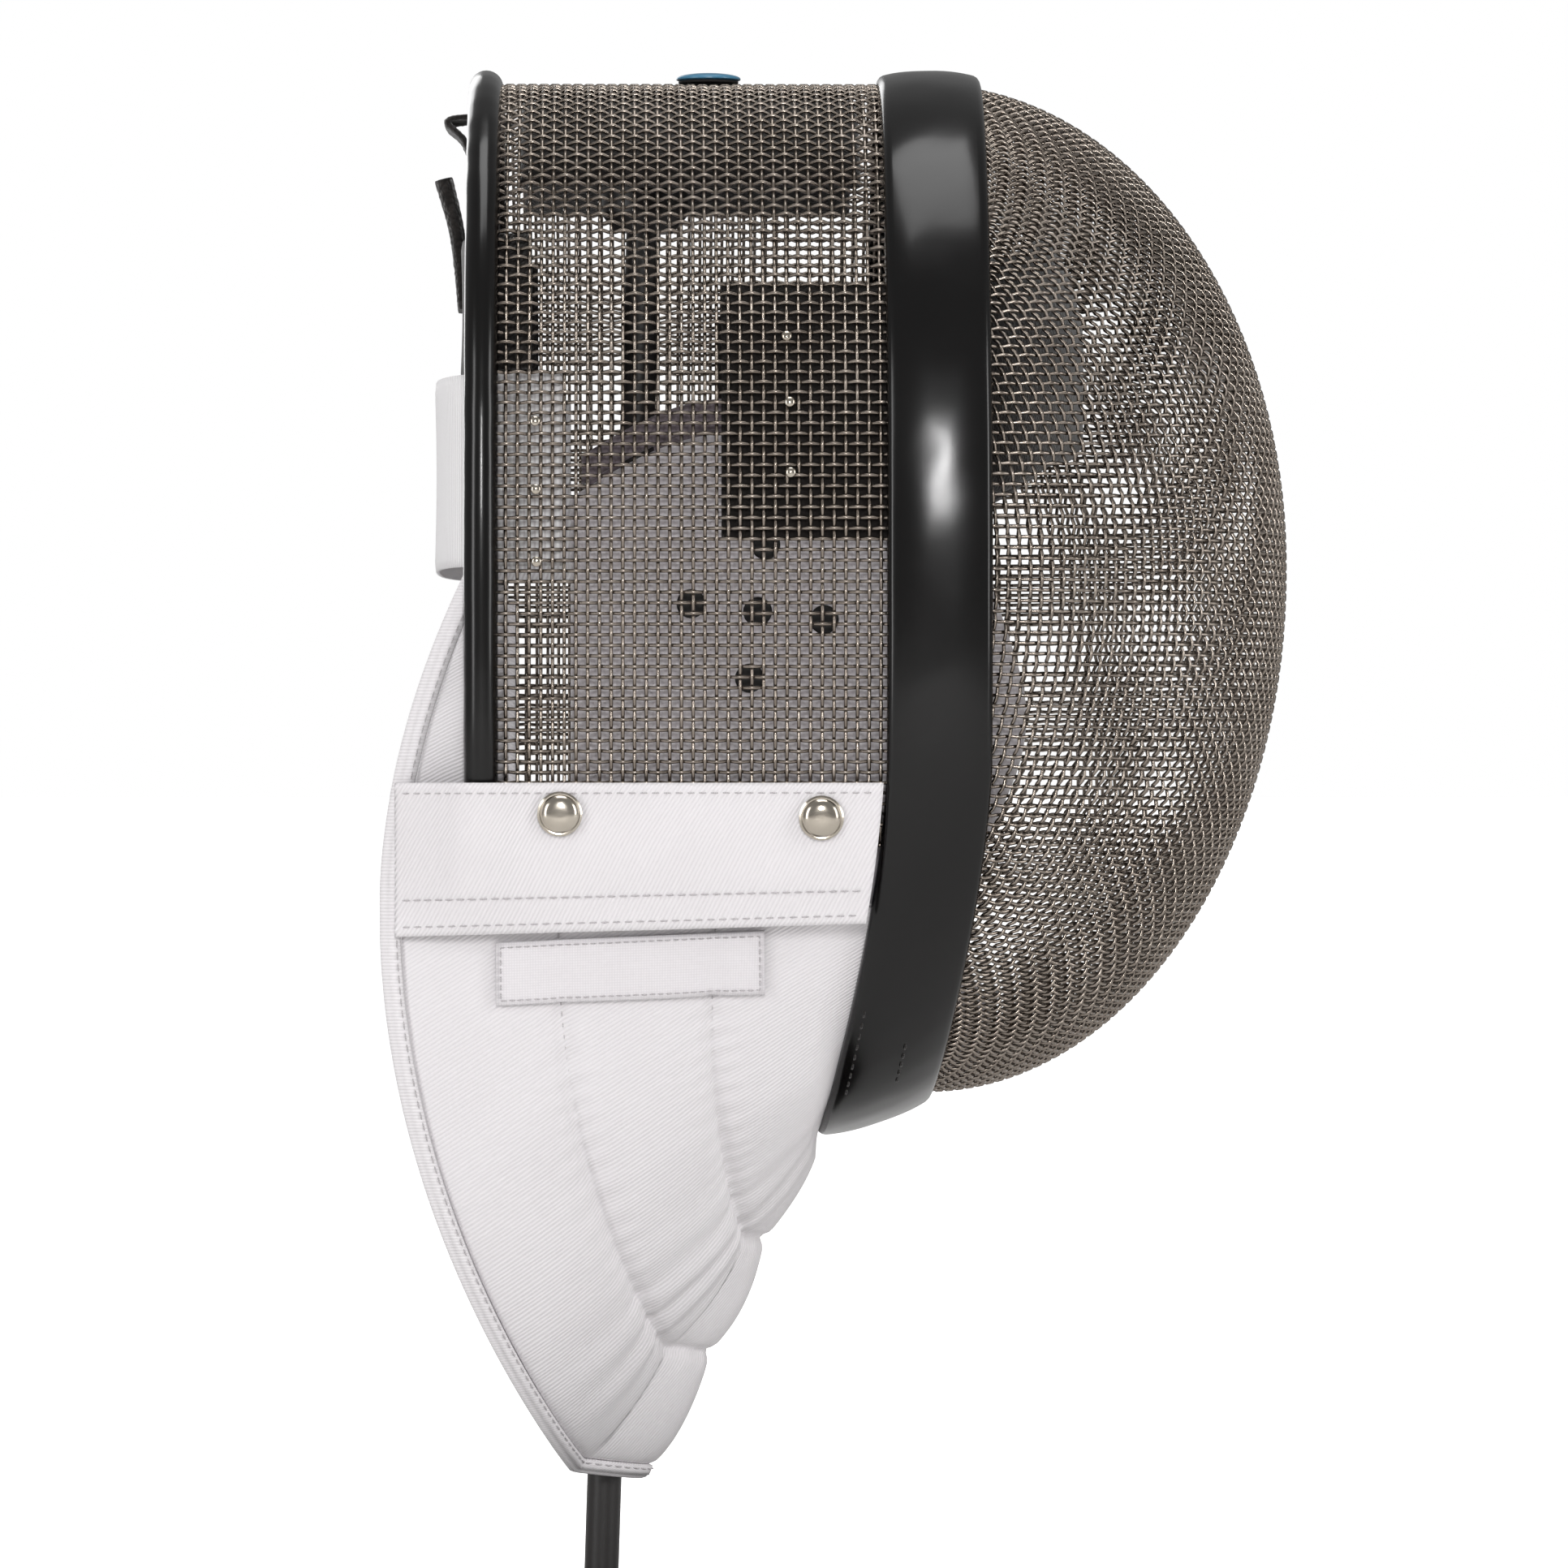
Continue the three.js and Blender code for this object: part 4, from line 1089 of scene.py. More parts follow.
@dataclass
class HeadPadding:
    """Everything soft inside the mask: crown, brow, cheeks and chin."""

    form: MaskForm
    ear_x: float = 41.0
    ear_z: float = 290.0
    hole_pitch: float = 17.5
    hole_radius: float = 3.9
    cheek_rear_x: float = -8.2
    cheek_brow_x: float = 66.0
    cheek_bottom_z: float = 196.0

    def inward(self, points: Array) -> Array:
        """Returns directions from points of the wall towards the head's middle line."""
        core = points.copy()
        core[..., 1] = 0
        core[..., 2] = np.clip(points[..., 2], self.form.widest_z - 60, self.form.widest_z + 40)
        core[..., 0] = np.clip(points[..., 0], -40, self.form.face_x - 10)
        return unit(core - points)

    def crown_pad(self) -> bpy.types.Object:
        """Builds the pad under the crown."""
        form = self.form
        edge = form.angle_at(408)
        rear_x, front_x = (c[0] for c in box_mm("crown_pad"))

        def place(u: Array, v: Array) -> tuple[Array, Array]:
            """Returns the wall over the crown."""
            angle, x = mix(-edge, edge, u), mix(rear_x, front_x, v)
            return form.outline(angle, x, 0, form.neck_drop), -form.wall_normal(angle, x)

        return cushion(place, 40, 26, form.cloth / 2 + GAP, 7.6, 0.1, 0.8).build("crown_pad_cushion")

    def brow_pad(self) -> bpy.types.Object:
        """Builds the brow pad with its side wings."""
        form = self.form
        low, high = box_mm("brow_pad")
        turn_x, front_x = 84.0, 134.0
        straight = 0.36

        def place(u: Array, v: Array) -> tuple[Array, Array]:
            """Returns the pad's outer face, from one wing round the brow to the other."""
            side = np.where(u < 0.5, -1.0, 1.0)
            r = 1 - np.abs(2 * u - 1)
            ahead = share(r, 0.3, 0.8)
            z = mix(mix(low[2], 333.0, ahead), mix(378.0, high[2], ahead), v)
            x = mix(low[0], turn_x, np.minimum(1, r / straight))
            half = form.half_width_at(x, z) - 0.25
            a = share(r, straight, 1.0) * math.pi / 2
            reach = front_x - turn_x - 9 * share(z, 366, 396) ** 1.5
            points = np.stack([x + reach * np.sin(a), side * half * np.cos(a), z], -1)
            return points, self.inward(points)

        def thick(u: Array) -> Array:
            """Returns the thickness: thin wings, thick brow."""
            return mix(2.0, 9.0, share(1 - np.abs(2 * u - 1), 0.3, 0.6))

        u = np.linspace(0, 1, 97)
        v = 0.5 - 0.5 * np.cos(np.linspace(0, math.pi, 21))
        uu, vv = np.meshgrid(u, v, indexing="ij")
        points, inward = place(uu, vv)
        near = np.minimum(np.minimum(vv, 1 - vv) / 0.1, np.minimum(uu, 1 - uu) / 0.02)
        round_off = np.sqrt(1 - (1 - np.clip(near, 0, 1)) ** 2)
        start = form.cloth / 2 + GAP + 0.2 + 1.2 * share(1 - np.abs(2 * uu - 1), 0.3, 0.6)
        half = thick(uu) / 2
        outer = points + inward * (start + half * (1 - np.maximum(round_off, 0.1)))[..., None]
        inner = points + inward * (start + half * (1 + np.maximum(round_off, 0.1)))[..., None]
        return layered(outer, inner).build("brow_pad_cushion")

    def cheek_top(self, x: Array) -> Array:
        """Returns the height of a cheek pad's upper edge."""
        rise = np.sin(share(x, self.cheek_rear_x, self.cheek_rear_x + 42) * math.pi / 2)
        return mix(mix(320.0, 337.0, rise), 305.0, share(x, self.cheek_brow_x, self.cheek_brow_x + 10))

    def cheek_front(self, z: Array) -> Array:
        """Returns how far forward a cheek pad reaches at a height."""
        return mix(100.0, 112.0, np.exp(-(((z - 262) / 30) ** 2))) - self.form.sweep_back(z)

    def cheek_pad(self, side: Side) -> bpy.types.Object:
        """Builds a cheek pad with its sound holes.

        Args:
            side: The wearer's side.

        Returns:
            The pad.
        """
        form = self.form

        def place(u: Array, v: Array) -> tuple[Array, Array]:
            """Returns the pad's outer face."""
            z = mix(self.cheek_bottom_z, self.cheek_top(mix(self.cheek_rear_x, 100.0, v)), u)
            x = mix(self.cheek_rear_x, self.cheek_front(z), v)
            inward = 3.9 + 3.6 * share(236 - z, 0, 18)
            ahead = np.maximum(0, (x - form.face_x) / form.face_reach)
            drop = mix(form.neck_drop, form.chin_drop, share(x, 40, 70))
            half = form.half_width_at(np.minimum(x, form.band_front_x), z, inward, drop)
            points = np.stack([x, side.value * half * np.sqrt(1 - ahead**2), z], -1)
            return points, np.broadcast_to(np.array([0.0, -side.value, 0.0]), points.shape)

        pad = cushion(place, 56, 48, 0.0, 7.6, 0.06, 0.5).build(f"cheek_pad_cushion_{side.name.lower()}")
        self.punch(pad, side)
        return pad

    def hole_centres(self) -> list[tuple[float, float]]:
        """Returns x and z of the five sound holes."""
        slant = 0.12
        steps = ((0, 0), (1, 0), (-1, 0), (0, 1), (0, -1))
        return [(self.ear_x + self.hole_pitch * (i + k * slant), self.ear_z + self.hole_pitch * (k - i * slant))
                for i, k in steps]

    def punch(self, pad: bpy.types.Object, side: Side) -> None:
        """Cuts the sound holes through a cheek pad."""
        drills = MeshParts()
        for x, z in self.hole_centres():
            line = np.array([[x, side.value * 70.0, z], [x, side.value * 110.0, z]])
            drills.add_tube(line, np.tile([1.0, 0, 0], (2, 1)), self.hole_radius, 24)
        cutter = drills.build("drill")
        cut = pad.modifiers.new("sound_holes", "BOOLEAN")
        cut.operation, cut.object, cut.solver = "DIFFERENCE", cutter, "EXACT"
        apply_modifiers(pad)
        bpy.data.objects.remove(cutter)
        soften(pad, 50)

    def hole_shade_plugs(self, side: Side) -> bpy.types.Object:
        """Builds dark plugs at the bottom of the sound holes: painted shade that darkens the holes."""
        parts = MeshParts()
        for x, z in self.hole_centres():
            half = float(self.form.half_width_at(np.array(x), np.array(z), 3.9, self.form.neck_drop))
            line = np.array([[x, side.value * (half - depth), z] for depth in (0.9, 6.0)])
            # painted shade: a dark plug fills each sound hole below the pad's outer face
            parts.add_tube(line, np.tile([1.0, 0, 0], (2, 1)), self.hole_radius - 0.1, 24)
        return soften(parts.build(f"sound_hole_plugs_{side.name.lower()}"), 40)

    def pad_tape(self, side: Side) -> bpy.types.Object:
        """Builds the tape over a cheek pad's upper edge."""
        form = self.form
        x = np.linspace(self.cheek_rear_x + 3, self.cheek_brow_x - 2, 50)[:, None]
        rise = np.linspace(1.2, 9.2, 9)[None]
        z = self.cheek_top(x) + rise
        bulge = np.sin(np.linspace(0, math.pi, 9))[None] * 0.8
        outer = form.side_point(x + 0 * z, z, side, 4.6 - 0.5)
        inner = form.side_point(x + 0 * z, z, side, 6.8)
        outer[..., 1] += side.value * bulge * 0.6
        return layered(outer, inner).build(f"pad_tape_strip_{side.name.lower()}")

    def chin_pad(self) -> bpy.types.Object:
        """Builds the pad across the chin."""
        form = self.form
        low = form.angle_at(self.cheek_bottom_z - 14, form.chin_drop)

        def place(u: Array, v: Array) -> tuple[Array, Array]:
            """Returns the wall under the chin."""
            angle = mix(low, 2 * math.pi - low, u)
            p = form.outline(angle, np.full_like(angle, form.face_x), 3.6, form.chin_drop)
            x = mix(76, 116, v) - form.sweep_back(p[..., 2])
            k = np.sqrt(1 - np.maximum(0, (x - form.face_x) / form.face_reach) ** 2)
            points = np.stack([x, p[..., 1] * k, mix(form.widest_z, p[..., 2], k)], -1)
            return points, self.inward(points)

        return cushion(place, 40, 20, 0.0, 6.8, 0.12).build("chin_pad_cushion")

    def build(self) -> None:
        """Makes and dresses the padding."""
        dress(self.crown_pad(), BLACK_FOAM, "crown_pad")
        dress(self.brow_pad(), BLACK_FOAM, "brow_pad")
        dress(self.chin_pad(), COTTON_LINER, "chin_pad")
        for side in Side:
            name = side.name.lower()
            dress(self.cheek_pad(side), COTTON_LINER, f"cheek_pad_{name}")
            # dark plugs in the sound holes: painted shade
            dress(self.hole_shade_plugs(side), BLACK_WASHER)
            tape = dress(self.pad_tape(side), GREY_TAPE, f"pad_tape_{name}")


def apply_modifiers(piece: bpy.types.Object) -> None:
    """Replaces a piece's mesh with its evaluated one, and clears its modifiers."""
    bpy.context.view_layer.update()
    depsgraph = bpy.context.evaluated_depsgraph_get()
    mesh = bpy.data.meshes.new_from_object(piece.evaluated_get(depsgraph))
    piece.modifiers.clear()
    piece.data = mesh


# ---------------------------------------------------------------- the bib


@dataclass
class ThroatBib:
    """Quilted throat bib: three padded channels that run under the chin, side strips, binding and patch."""

    form: MaskForm
    top_z: float = 212.0
    rear_y: float = 86.0
    front_gap: float = 1.0
    sweep: float = 52.6
    sweep_power: float = 2.0
    wrap: float = 17.0
    wrap_share: float = 0.12
    padding: float = 5.5
    hem: float = 2.2
    bulge: float = 3.4
    channels: int = 3
    edge_share: float = 0.955
    wing_top_z: float = 300.0
    wing_forward: float = 22.9
    wing_power: float = 1.9
    wing_front_x: float = -24.6
    wing_thick: float = 3.0
    tape: float = 6.0
    flap_rear_x: float = -54.5
    flap_front_x: float = 74.2
    flap_top_z: float = 245.0
    flap_bottom: tuple[float, float] = (204.4, 207.9)
    flap_thick: float = 1.4
    rear_x: float = field(init=False)
    tip_z: float = field(init=False)

    def __post_init__(self) -> None:
        """Reads the free edge's furthest places from the frame."""
        low, _ = box_mm("bib_binding")
        self.rear_x, self.tip_z = low[0] - 0.1, low[2] + 0.4

    def front_line(self, side: Array, t: Array) -> Array:
        """Returns the bib's line behind the band; t is 0 at the top and 1 below the chin."""
        form = self.form
        angle = mix(form.angle_at(self.top_z), math.pi, t)
        p = form.outline(angle, np.full_like(angle, form.band_rear_x), 0.2, form.neck_drop)
        x = form.band_rear_x + self.front_gap - form.sweep_back(p[..., 2])
        return np.stack([x, side * p[..., 1], p[..., 2]], -1)

    def free_line(self, side: Array, t: Array) -> Array:
        """Returns the bib's free edge, from the rear corner down to the tip."""
        fall = np.sin(t * math.pi / 2)
        near = (1 - t) / self.wrap_share
        wrap = np.where(near < 1, self.wrap * (1 - near**2), 0)
        x = self.rear_x + self.sweep * fall**self.sweep_power + wrap
        return np.stack([x, side * self.rear_y * np.cos(t * math.pi / 2), mix(self.top_z, self.tip_z, fall)], -1)

    def skin(self, s: Array, v: Array) -> Array:
        """Returns the smooth outer cloth: s 0 at the band, 1 at the free edge; v -1 to 1 across."""
        s, v = np.broadcast_arrays(np.asarray(s, float), np.asarray(v, float))
        side = np.where(v < 0, -1.0, 1.0)
        t = 1 - np.abs(v)
        return mix(self.front_line(side, t), self.free_line(side, t), s[..., None])

    def normal(self, s: Array, v: Array) -> Array:
        """Returns the outward direction of the smooth cloth."""
        e = 0.004
        ds = self.skin(np.minimum(1, s + e), v) - self.skin(np.maximum(0, s - e), v)
        dv = self.skin(s, np.minimum(1, v + e)) - self.skin(s, np.maximum(-1, v - e))
        return unit(np.cross(ds, dv))

    def puff(self, s: Array, v: Array) -> Array:
        """Height of the quilted cloth: full channels, tight seams, and puckers along them.

        Args:
            s: Share from band to free edge.
            v: Share from side to side.

        Returns:
            Heights over the smooth cloth.
        """
        t = 1 - np.abs(v)
        phase = self.channels * s / self.edge_share
        channel = np.abs(np.sin(math.pi * phase)) ** 0.55
        opened = np.clip(t * 2.4, 0, 1) * np.clip(s / 0.08, 0, 1)
        full = self.bulge * channel * opened
        off_seam = np.abs(phase - np.round(phase))
        sewn = (np.round(phase) > 0) & (phase < self.channels - 0.4)
        groove = 1.1 * np.exp(-((off_seam / 0.045) ** 2)) * sewn * np.clip(t * 5, 0, 1)
        pucker = 0.28 * np.exp(-((off_seam / 0.16) ** 2)) * np.sin(v * 150 + 2 * ripple(v * 4, s, 2)) * sewn
        free = np.clip((1 - s) * 6, 0, 1) * np.clip(s / 0.06, 0, 1)
        sag = 0.45 * ripple(s * 1.6, v * 3.0, 11) * np.clip(t * 1.6, 0, 1)
        crushed = np.exp(-(((t - 0.74) / 0.13) ** 2)) * np.sin(math.pi * phase / self.channels)
        fold = 0.95 * np.sin(t * 64 + 3.2 * s + ripple(s * 2, v * 2, 7)) * crushed
        return full - groove + (pucker + sag + fold) * free

    def point(self, s: Array, v: Array, height: Array | float = 0.0) -> Array:
        """Returns a point over the quilted cloth."""
        return self.skin(s, v) + self.normal(s, v) * (self.puff(s, v) + height)[..., None]

    def body(self) -> bpy.types.Object:
        """Builds the quilted body."""
        s = np.linspace(0, self.edge_share, 84)
        v = np.linspace(-1, 1, 260)
        vv, ss = np.meshgrid(v, s, indexing="ij")
        thick = mix(self.hem, self.padding, np.clip(ss / 0.15, 0, 1) * np.clip((1 - ss) / 0.15 + 0.2, 0, 1))
        back = 0.3 * ripple(ss * 8, vv * 14, 21)
        inner = self.skin(ss, vv) - self.normal(ss, vv) * (thick + back)[..., None]
        return layered(self.point(ss, vv), inner).build("bib_quilted_body")

    def wing_rear_x(self, z: Array) -> Array:
        """Returns the wing's free edge at a height."""
        return self.rear_x + self.wing_forward * share(z, self.top_z, self.wing_top_z + 1) ** self.wing_power

    def wing_y(self, x: Array, z: Array) -> Array:
        """Returns half the width over the wing's outer face."""
        form = self.form
        top = form.half_width_at(form.rim_x, self.wing_top_z) - 7
        rear = mix(self.rear_y, top, share(z, self.top_z, self.wing_top_z + 1))
        front = form.half_width_at(form.rim_x, z) - form.rim_radius - GAP - 0.8
        return mix(rear, front, share(x, self.rear_x, form.rim_x - form.rim_radius))

    def wing(self, side: Side) -> bpy.types.Object:
        """Builds the corner that runs up inside the rim."""
        z = np.linspace(self.top_z - 2.4, self.wing_top_z - 3, 60)[:, None]
        w = np.linspace(0, 1, 18)[None]
        x = mix(self.wing_rear_x(z) + self.tape + 0.3, self.wing_front_x, w)
        wave = 0.35 * ripple(x / 14, z / 22, 31 + side.value)
        y = self.wing_y(x, z) + wave
        zz = z + 0 * x
        outer = np.stack([x, side.value * y, zz], -1)
        inner = np.stack([x, side.value * (y - self.wing_thick), zz], -1)
        return layered(outer, inner).build(f"bib_wing_cloth_{side.name.lower()}")

    def binding(self) -> bpy.types.Object:
        """Builds the tape folded over the free edge, from one wing's top round the tip to the other's."""
        rows: list[Array] = []
        fold = np.linspace(-math.pi / 2, math.pi / 2, 7)

        def hairpin(edge: Array, into: Array, out: Array, length: float, thick: float) -> Array:
            """Returns the section of the folded tape."""
            half = thick / 2
            bend = [edge + into * (half - half * np.cos(a)) + out * (-half + half * np.sin(a) + 0.9) for a in fold]
            top = [edge + into * length * k + out * (0.9 + 0.25 * math.sin(math.pi * k)) for k in (0.4, 0.7, 1)]
            low = [edge + into * length * k + out * (0.9 - thick) for k in (1, 0.7, 0.4)]
            return np.array(bend + top + low)

        def wing_rows(side: Side, zs: Array) -> None:
            """Adds the stretch on a wing."""
            for z in zs:
                x = float(self.wing_rear_x(z))
                edge = np.array([x, side.value * float(self.wing_y(x, z)), z])
                rows.append(hairpin(edge, np.array([1.0, 0, 0]), np.array([0, side.value * 1.0, 0]),
                                    self.tape, self.wing_thick + 1.8))

        heights = np.linspace(self.wing_top_z, self.top_z + 4, 40)
        wing_rows(Side.RIGHT, heights)
        for v in np.linspace(-0.97, 0.97, 260):
            edge, inner = self.skin(1.0, v), self.skin(0.9, v)
            into = unit(inner - edge)
            length = np.linalg.norm(edge - self.skin(self.edge_share, v)) - 0.4
            rows.append(hairpin(edge, into, self.normal(0.99, v), max(length, 4.2), self.hem + 1.8))
        wing_rows(Side.LEFT, heights[::-1])
        grid = np.array(rows)
        parts = MeshParts()
        parts.add_grid(grid, loop_columns=True)
        width = grid.shape[1]
        parts.add_cap(np.arange(width)[::-1])
        parts.add_cap((len(grid) - 1) * width + np.arange(width))
        return parts.build("bib_edge_tape")

    def flap_y(self, x: Array, z: Array) -> Array:
        """Returns half the width over the side strip's inner face."""
        form = self.form
        rise = share(z, self.flap_bottom[0], self.flap_top_z)
        over = form.rim_radius * np.exp(-(((x - form.rim_x) / 11) ** 2))
        top = form.half_width_at(x, self.flap_top_z) + form.cloth / 2 + GAP + over
        bottom = mix(90.2, 91.6, share(x, self.flap_rear_x, self.flap_front_x))
        belly = 5.6 * rise * (1 - rise) * (1 + over / 6)
        rear = share(x, self.flap_rear_x, self.flap_rear_x + 16) ** 0.7
        near = mix(self.rear_y + 1.6, self.wing_y(np.full_like(x, self.flap_rear_x), z) + 1.4, rise)
        return mix(near, mix(bottom, top, rise) + belly, rear)

    def flap_low(self, x: Array) -> Array:
        """Returns the height of the strip's lower edge."""
        return mix(*self.flap_bottom, share(x, self.flap_rear_x, self.flap_front_x))

    def flap_point(self, x: Array, z: Array, side: Side, height: Array | float) -> Array:
        """Returns a point over the side strip."""
        back = self.form.sweep_back(z) * ease(share(x, 20, self.flap_front_x))
        y = self.flap_y(x, z) + height + 0.22 * ripple(x / 30, z / 26, 41 + side.value)
        return np.stack(np.broadcast_arrays(x - back, side.value * y, z), -1)

    def flap(self, side: Side) -> bpy.types.Object:
        """Builds a side strip with a turned hem along both edges."""
        x = np.linspace(self.flap_rear_x, self.flap_front_x, 110)[:, None]
        w = np.linspace(0, 1, 30)[None]
        z = mix(self.flap_low(x), self.flap_top_z, w)
        fold = 0.35 * (np.exp(-((w / 0.08) ** 4)) + np.exp(-(((1 - w) / 0.1) ** 4)))
        round_off = 0.5 * (np.exp(-((w / 0.012) ** 2)) + np.exp(-(((1 - w) / 0.012) ** 2)))
        outer = self.flap_point(x + 0 * z, z, side, self.flap_thick + fold - round_off)
        inner = self.flap_point(x + 0 * z, z, side, 0.0 + 0 * fold)
        return layered(outer, inner).build(f"bib_side_strip_{side.name.lower()}")

    def solve(self, x: float, z: float) -> tuple[float, float]:
        """Finds where a place seen from the wearer's right lies on the cloth.

        Args:
            x: Place along the mask.
            z: Height.

        Returns:
            s and v.
        """
        s, v, e = 0.5, -0.95, 1e-3
        for _ in range(30):
            p = self.skin(s, v)
            ps, pv = (self.skin(s + e, v) - p) / e, (self.skin(s, v + e) - p) / e
            det = ps[0] * pv[2] - pv[0] * ps[2]
            dx, dz = x - p[0], z - p[2]
            s = float(np.clip(s + (dx * pv[2] - dz * pv[0]) / det, 0.02, 0.95))
            v = float(np.clip(v + (ps[0] * dz - ps[2] * dx) / det, -0.999, -0.02))
        return s, v

    def patch_grid(self, margin: float = 0.0, height: float = 0.0, rows: int = 36, columns: int = 12) -> Array:
        """Returns points over the blank patch on the wearer's right, inside a margin."""
        low, high = box_mm("name_patch")
        grid = np.zeros((rows, columns, 3))
        for i, u in enumerate(np.linspace(0, 1, rows)):
            x = mix(low[0] + margin, high[0] - margin, u)
            top = mix(203.0, 206.4, u) - margin
            for j, w in enumerate(np.linspace(0, 1, columns)):
                s, v = self.solve(x, mix(top - 16.5 + 2 * margin, top, w))
                grid[i, j] = self.skin(s, v) + self.normal(s, v) * (float(self.puff(s, v)) * 0.8 + 0.9 + height)
        return grid

    def patch(self) -> bpy.types.Object:
        """Builds the plain ribbon patch."""
        return layered(self.patch_grid(0, 0.9), self.patch_grid(0, 0.2)).build("name_patch_ribbon")

    def stitches(self) -> bpy.types.Object:
        """Builds every row of white stitches on the bib."""
        parts = MeshParts()
        sewn = Stitching(2.2, 0.9, 0.21)
        dense = np.linspace(0, 1, 400)
        for k in range(1, self.channels):
            s = np.full(500, self.edge_share * k / self.channels)
            v = np.linspace(-0.985, 0.985, 500)
            sewn.add(parts, self.point(s, v), self.normal(s, v))
        for side in Side:
            for w in (0.06, 0.235, 0.93):
                x = mix(self.flap_rear_x + 2, self.flap_front_x - 2, dense)
                z = mix(self.flap_low(x), self.flap_top_z, w)
                line = self.flap_point(x, z, side, self.flap_thick + 0.15)
                out = np.tile([0.0, side.value * 1.0, 0.05], (len(line), 1))
                sewn.add(parts, line, unit(out))
            z = np.linspace(self.top_z + 6, self.wing_top_z - 4, 200)
            x = self.wing_rear_x(z) + self.tape - 1.2
            y = self.wing_y(x, z) + 1.0
            line = np.stack([x, side.value * y, z], -1)
            sewn.add(parts, line, np.tile([0.0, side.value * 1.0, 0.0], (200, 1)))
        v = np.linspace(-0.965, 0.965, 900)
        s = np.full_like(v, 0.965)
        sewn.add(parts, self.skin(s, v) + self.normal(s, v) * 1.0, self.normal(s, v))
        border = self.patch_grid(1.3, 0.95)
        loop = np.concatenate([border[:, 0], border[-1, 1:], border[-2::-1, -1], border[0, -2::-1]])
        Stitching(1.6, 0.6, 0.18).add(parts, loop, np.tile([0.0, -1.0, -0.1], (len(loop), 1)))
        return parts.build("bib_stitching")

    def build(self) -> None:
        """Makes and dresses the bib."""
        dress(self.body(), COTTON_TWILL, "bib_body")
        dress(self.binding(), GROSGRAIN, "bib_binding")
        for side in Side:
            name = side.name.lower()
            dress(self.wing(side), COTTON_TWILL, f"bib_wing_{name}")
            strip = dress(self.flap(side), COTTON_TWILL, f"bib_flap_{name}")
        patch = dress(self.patch(), SATIN, "name_patch")
        dress(self.stitches(), WHITE_THREAD)


# ---------------------------------------------------------------- straps


@dataclass(frozen=True)
class StrapCut:
    """Sizes of a strap that bows back behind the head."""

    name: str
    node: str
    low_z: float
    high_z: float
    anchor_x: float
    back_x: float
    thick: float
    finish: Finish


@dataclass
class RearStraps:
    """The elastic and the webbing behind the head, and the tape down from the crown."""

    form: MaskForm

    def cuts(self) -> list[StrapCut]:
        """Returns the two straps, sized from the frame."""
        low, high = box_mm("elastic_strap")
        upper_low, upper_high = box_mm("upper_strap")
        return [
            StrapCut("rear_elastic", "elastic_strap", low[2], high[2], high[0], low[0], 1.8, WHITE_ELASTIC),
            StrapCut("upper_webbing", "upper_strap", upper_low[2], upper_high[2], upper_high[0], upper_low[0],
                     1.8, BLACK_PILE)]

    def strap(self, cut: StrapCut) -> bpy.types.Object:
        """Builds a bowed strap with rounded edges.

        Args:
            cut: Its sizes.

        Returns:
            The strap.
        """
        form = self.form
        bend_x = form.rim_x + form.rim_radius + 1.4
        inside = form.rim_radius + GAP
        r_line = np.linspace(0, 1, 161)[:, None]
        r = 1 - np.abs(2 * r_line - 1)
        side = np.where(r_line < 0.5, -1.0, 1.0)
        w = np.linspace(0, 1, 21)[None]
        z = mix(cut.low_z, cut.high_z, w) + 0.0 * r
        straight = 0.14
        run = np.minimum(1, r / straight)
        a = share(r, straight, 1) * math.pi / 2
        x0 = mix(cut.anchor_x, bend_x, run) + 0 * z
        half = form.half_width_at(x0, z) - mix(1.5, inside, run)
        roll = 0.35 * (np.exp(-((w / 0.02) ** 2)) + np.exp(-(((1 - w) / 0.02) ** 2)))
        sag = 0.5 * np.sin(math.pi * w) * np.sin(a)

        def skin(depth: Array) -> Array:
            """Returns one face of the strap."""
            reach = (bend_x - cut.back_x - depth - sag) * np.sin(a) ** 0.8
            y = side * (half - depth) * np.cos(a) ** 0.7
            return np.stack(np.broadcast_arrays(x0 - reach, y, z), -1)

        return layered(skin(roll), skin(cut.thick - roll)).build(cut.name)

    def middle_tape(self, name: str, line: Sequence[tuple[float, float]], width: float, thick: float,
                    swell: float = 1.0) -> bpy.types.Object:
        """A flat tape in the middle plane.

        Args:
            name: Name of the piece.
            line: x and z of the points it passes.
            width: Width across the head.
            thick: Thickness.
            swell: How much thicker the last end is.

        Returns:
            The tape.
        """
        marks = np.array(line, float)
        t = np.linspace(0, len(marks) - 1, 12 * len(marks))
        path = np.stack([smooth_through(marks[:, k], t) for k in (0, 1)], -1)
        along = unit(np.gradient(path, axis=0))
        w = np.linspace(-0.5, 0.5, 13)[None]
        edge = 0.3 * thick * (np.abs(2 * w) ** 12)
        frayed = 0.18 * ripple(t[:, None] * 5, w * 9, 51)

        def face(sign: float) -> Array:
            """Returns one face of the tape."""
            grown = mix(1.0, swell, t[:, None] / t[-1])
            off = sign * ((thick / 2 - edge) * grown + frayed * 0.5)
            x = path[:, :1] + along[:, 1:] * off
            z = path[:, 1:] - along[:, :1] * off
            return np.stack(np.broadcast_arrays(x, w * width, z), -1)

        return layered(face(1), face(-1)).build(name)

    def build(self) -> None:
        """Makes and dresses the straps."""
        for cut in self.cuts():
            piece = dress(self.strap(cut), cut.finish, cut.node)
            span = 2 * (abs(cut.anchor_x - cut.back_x) + self.form.half_width_at(self.form.rim_x, cut.low_z))
        crown = [(-24.5, 423.5), (-33, 426.3), (-42.2, 425.2), (-37.5, 419.5), (-34.4, 408), (-34.4, 390),
                 (-34.8, 362)]
        tape = dress(self.middle_tape("crown_webbing", crown, 25, 1.8), BLACK_PILE, "crown_tape")
        tab = dress(self.middle_tape("hook_tab_strip", [(-38.2, 374), (-38.9, 386), (-40.2, 397), (-43.4, 409.5)],
                                     22, 2.6, 1.9), BLACK_PILE, "hook_tab")


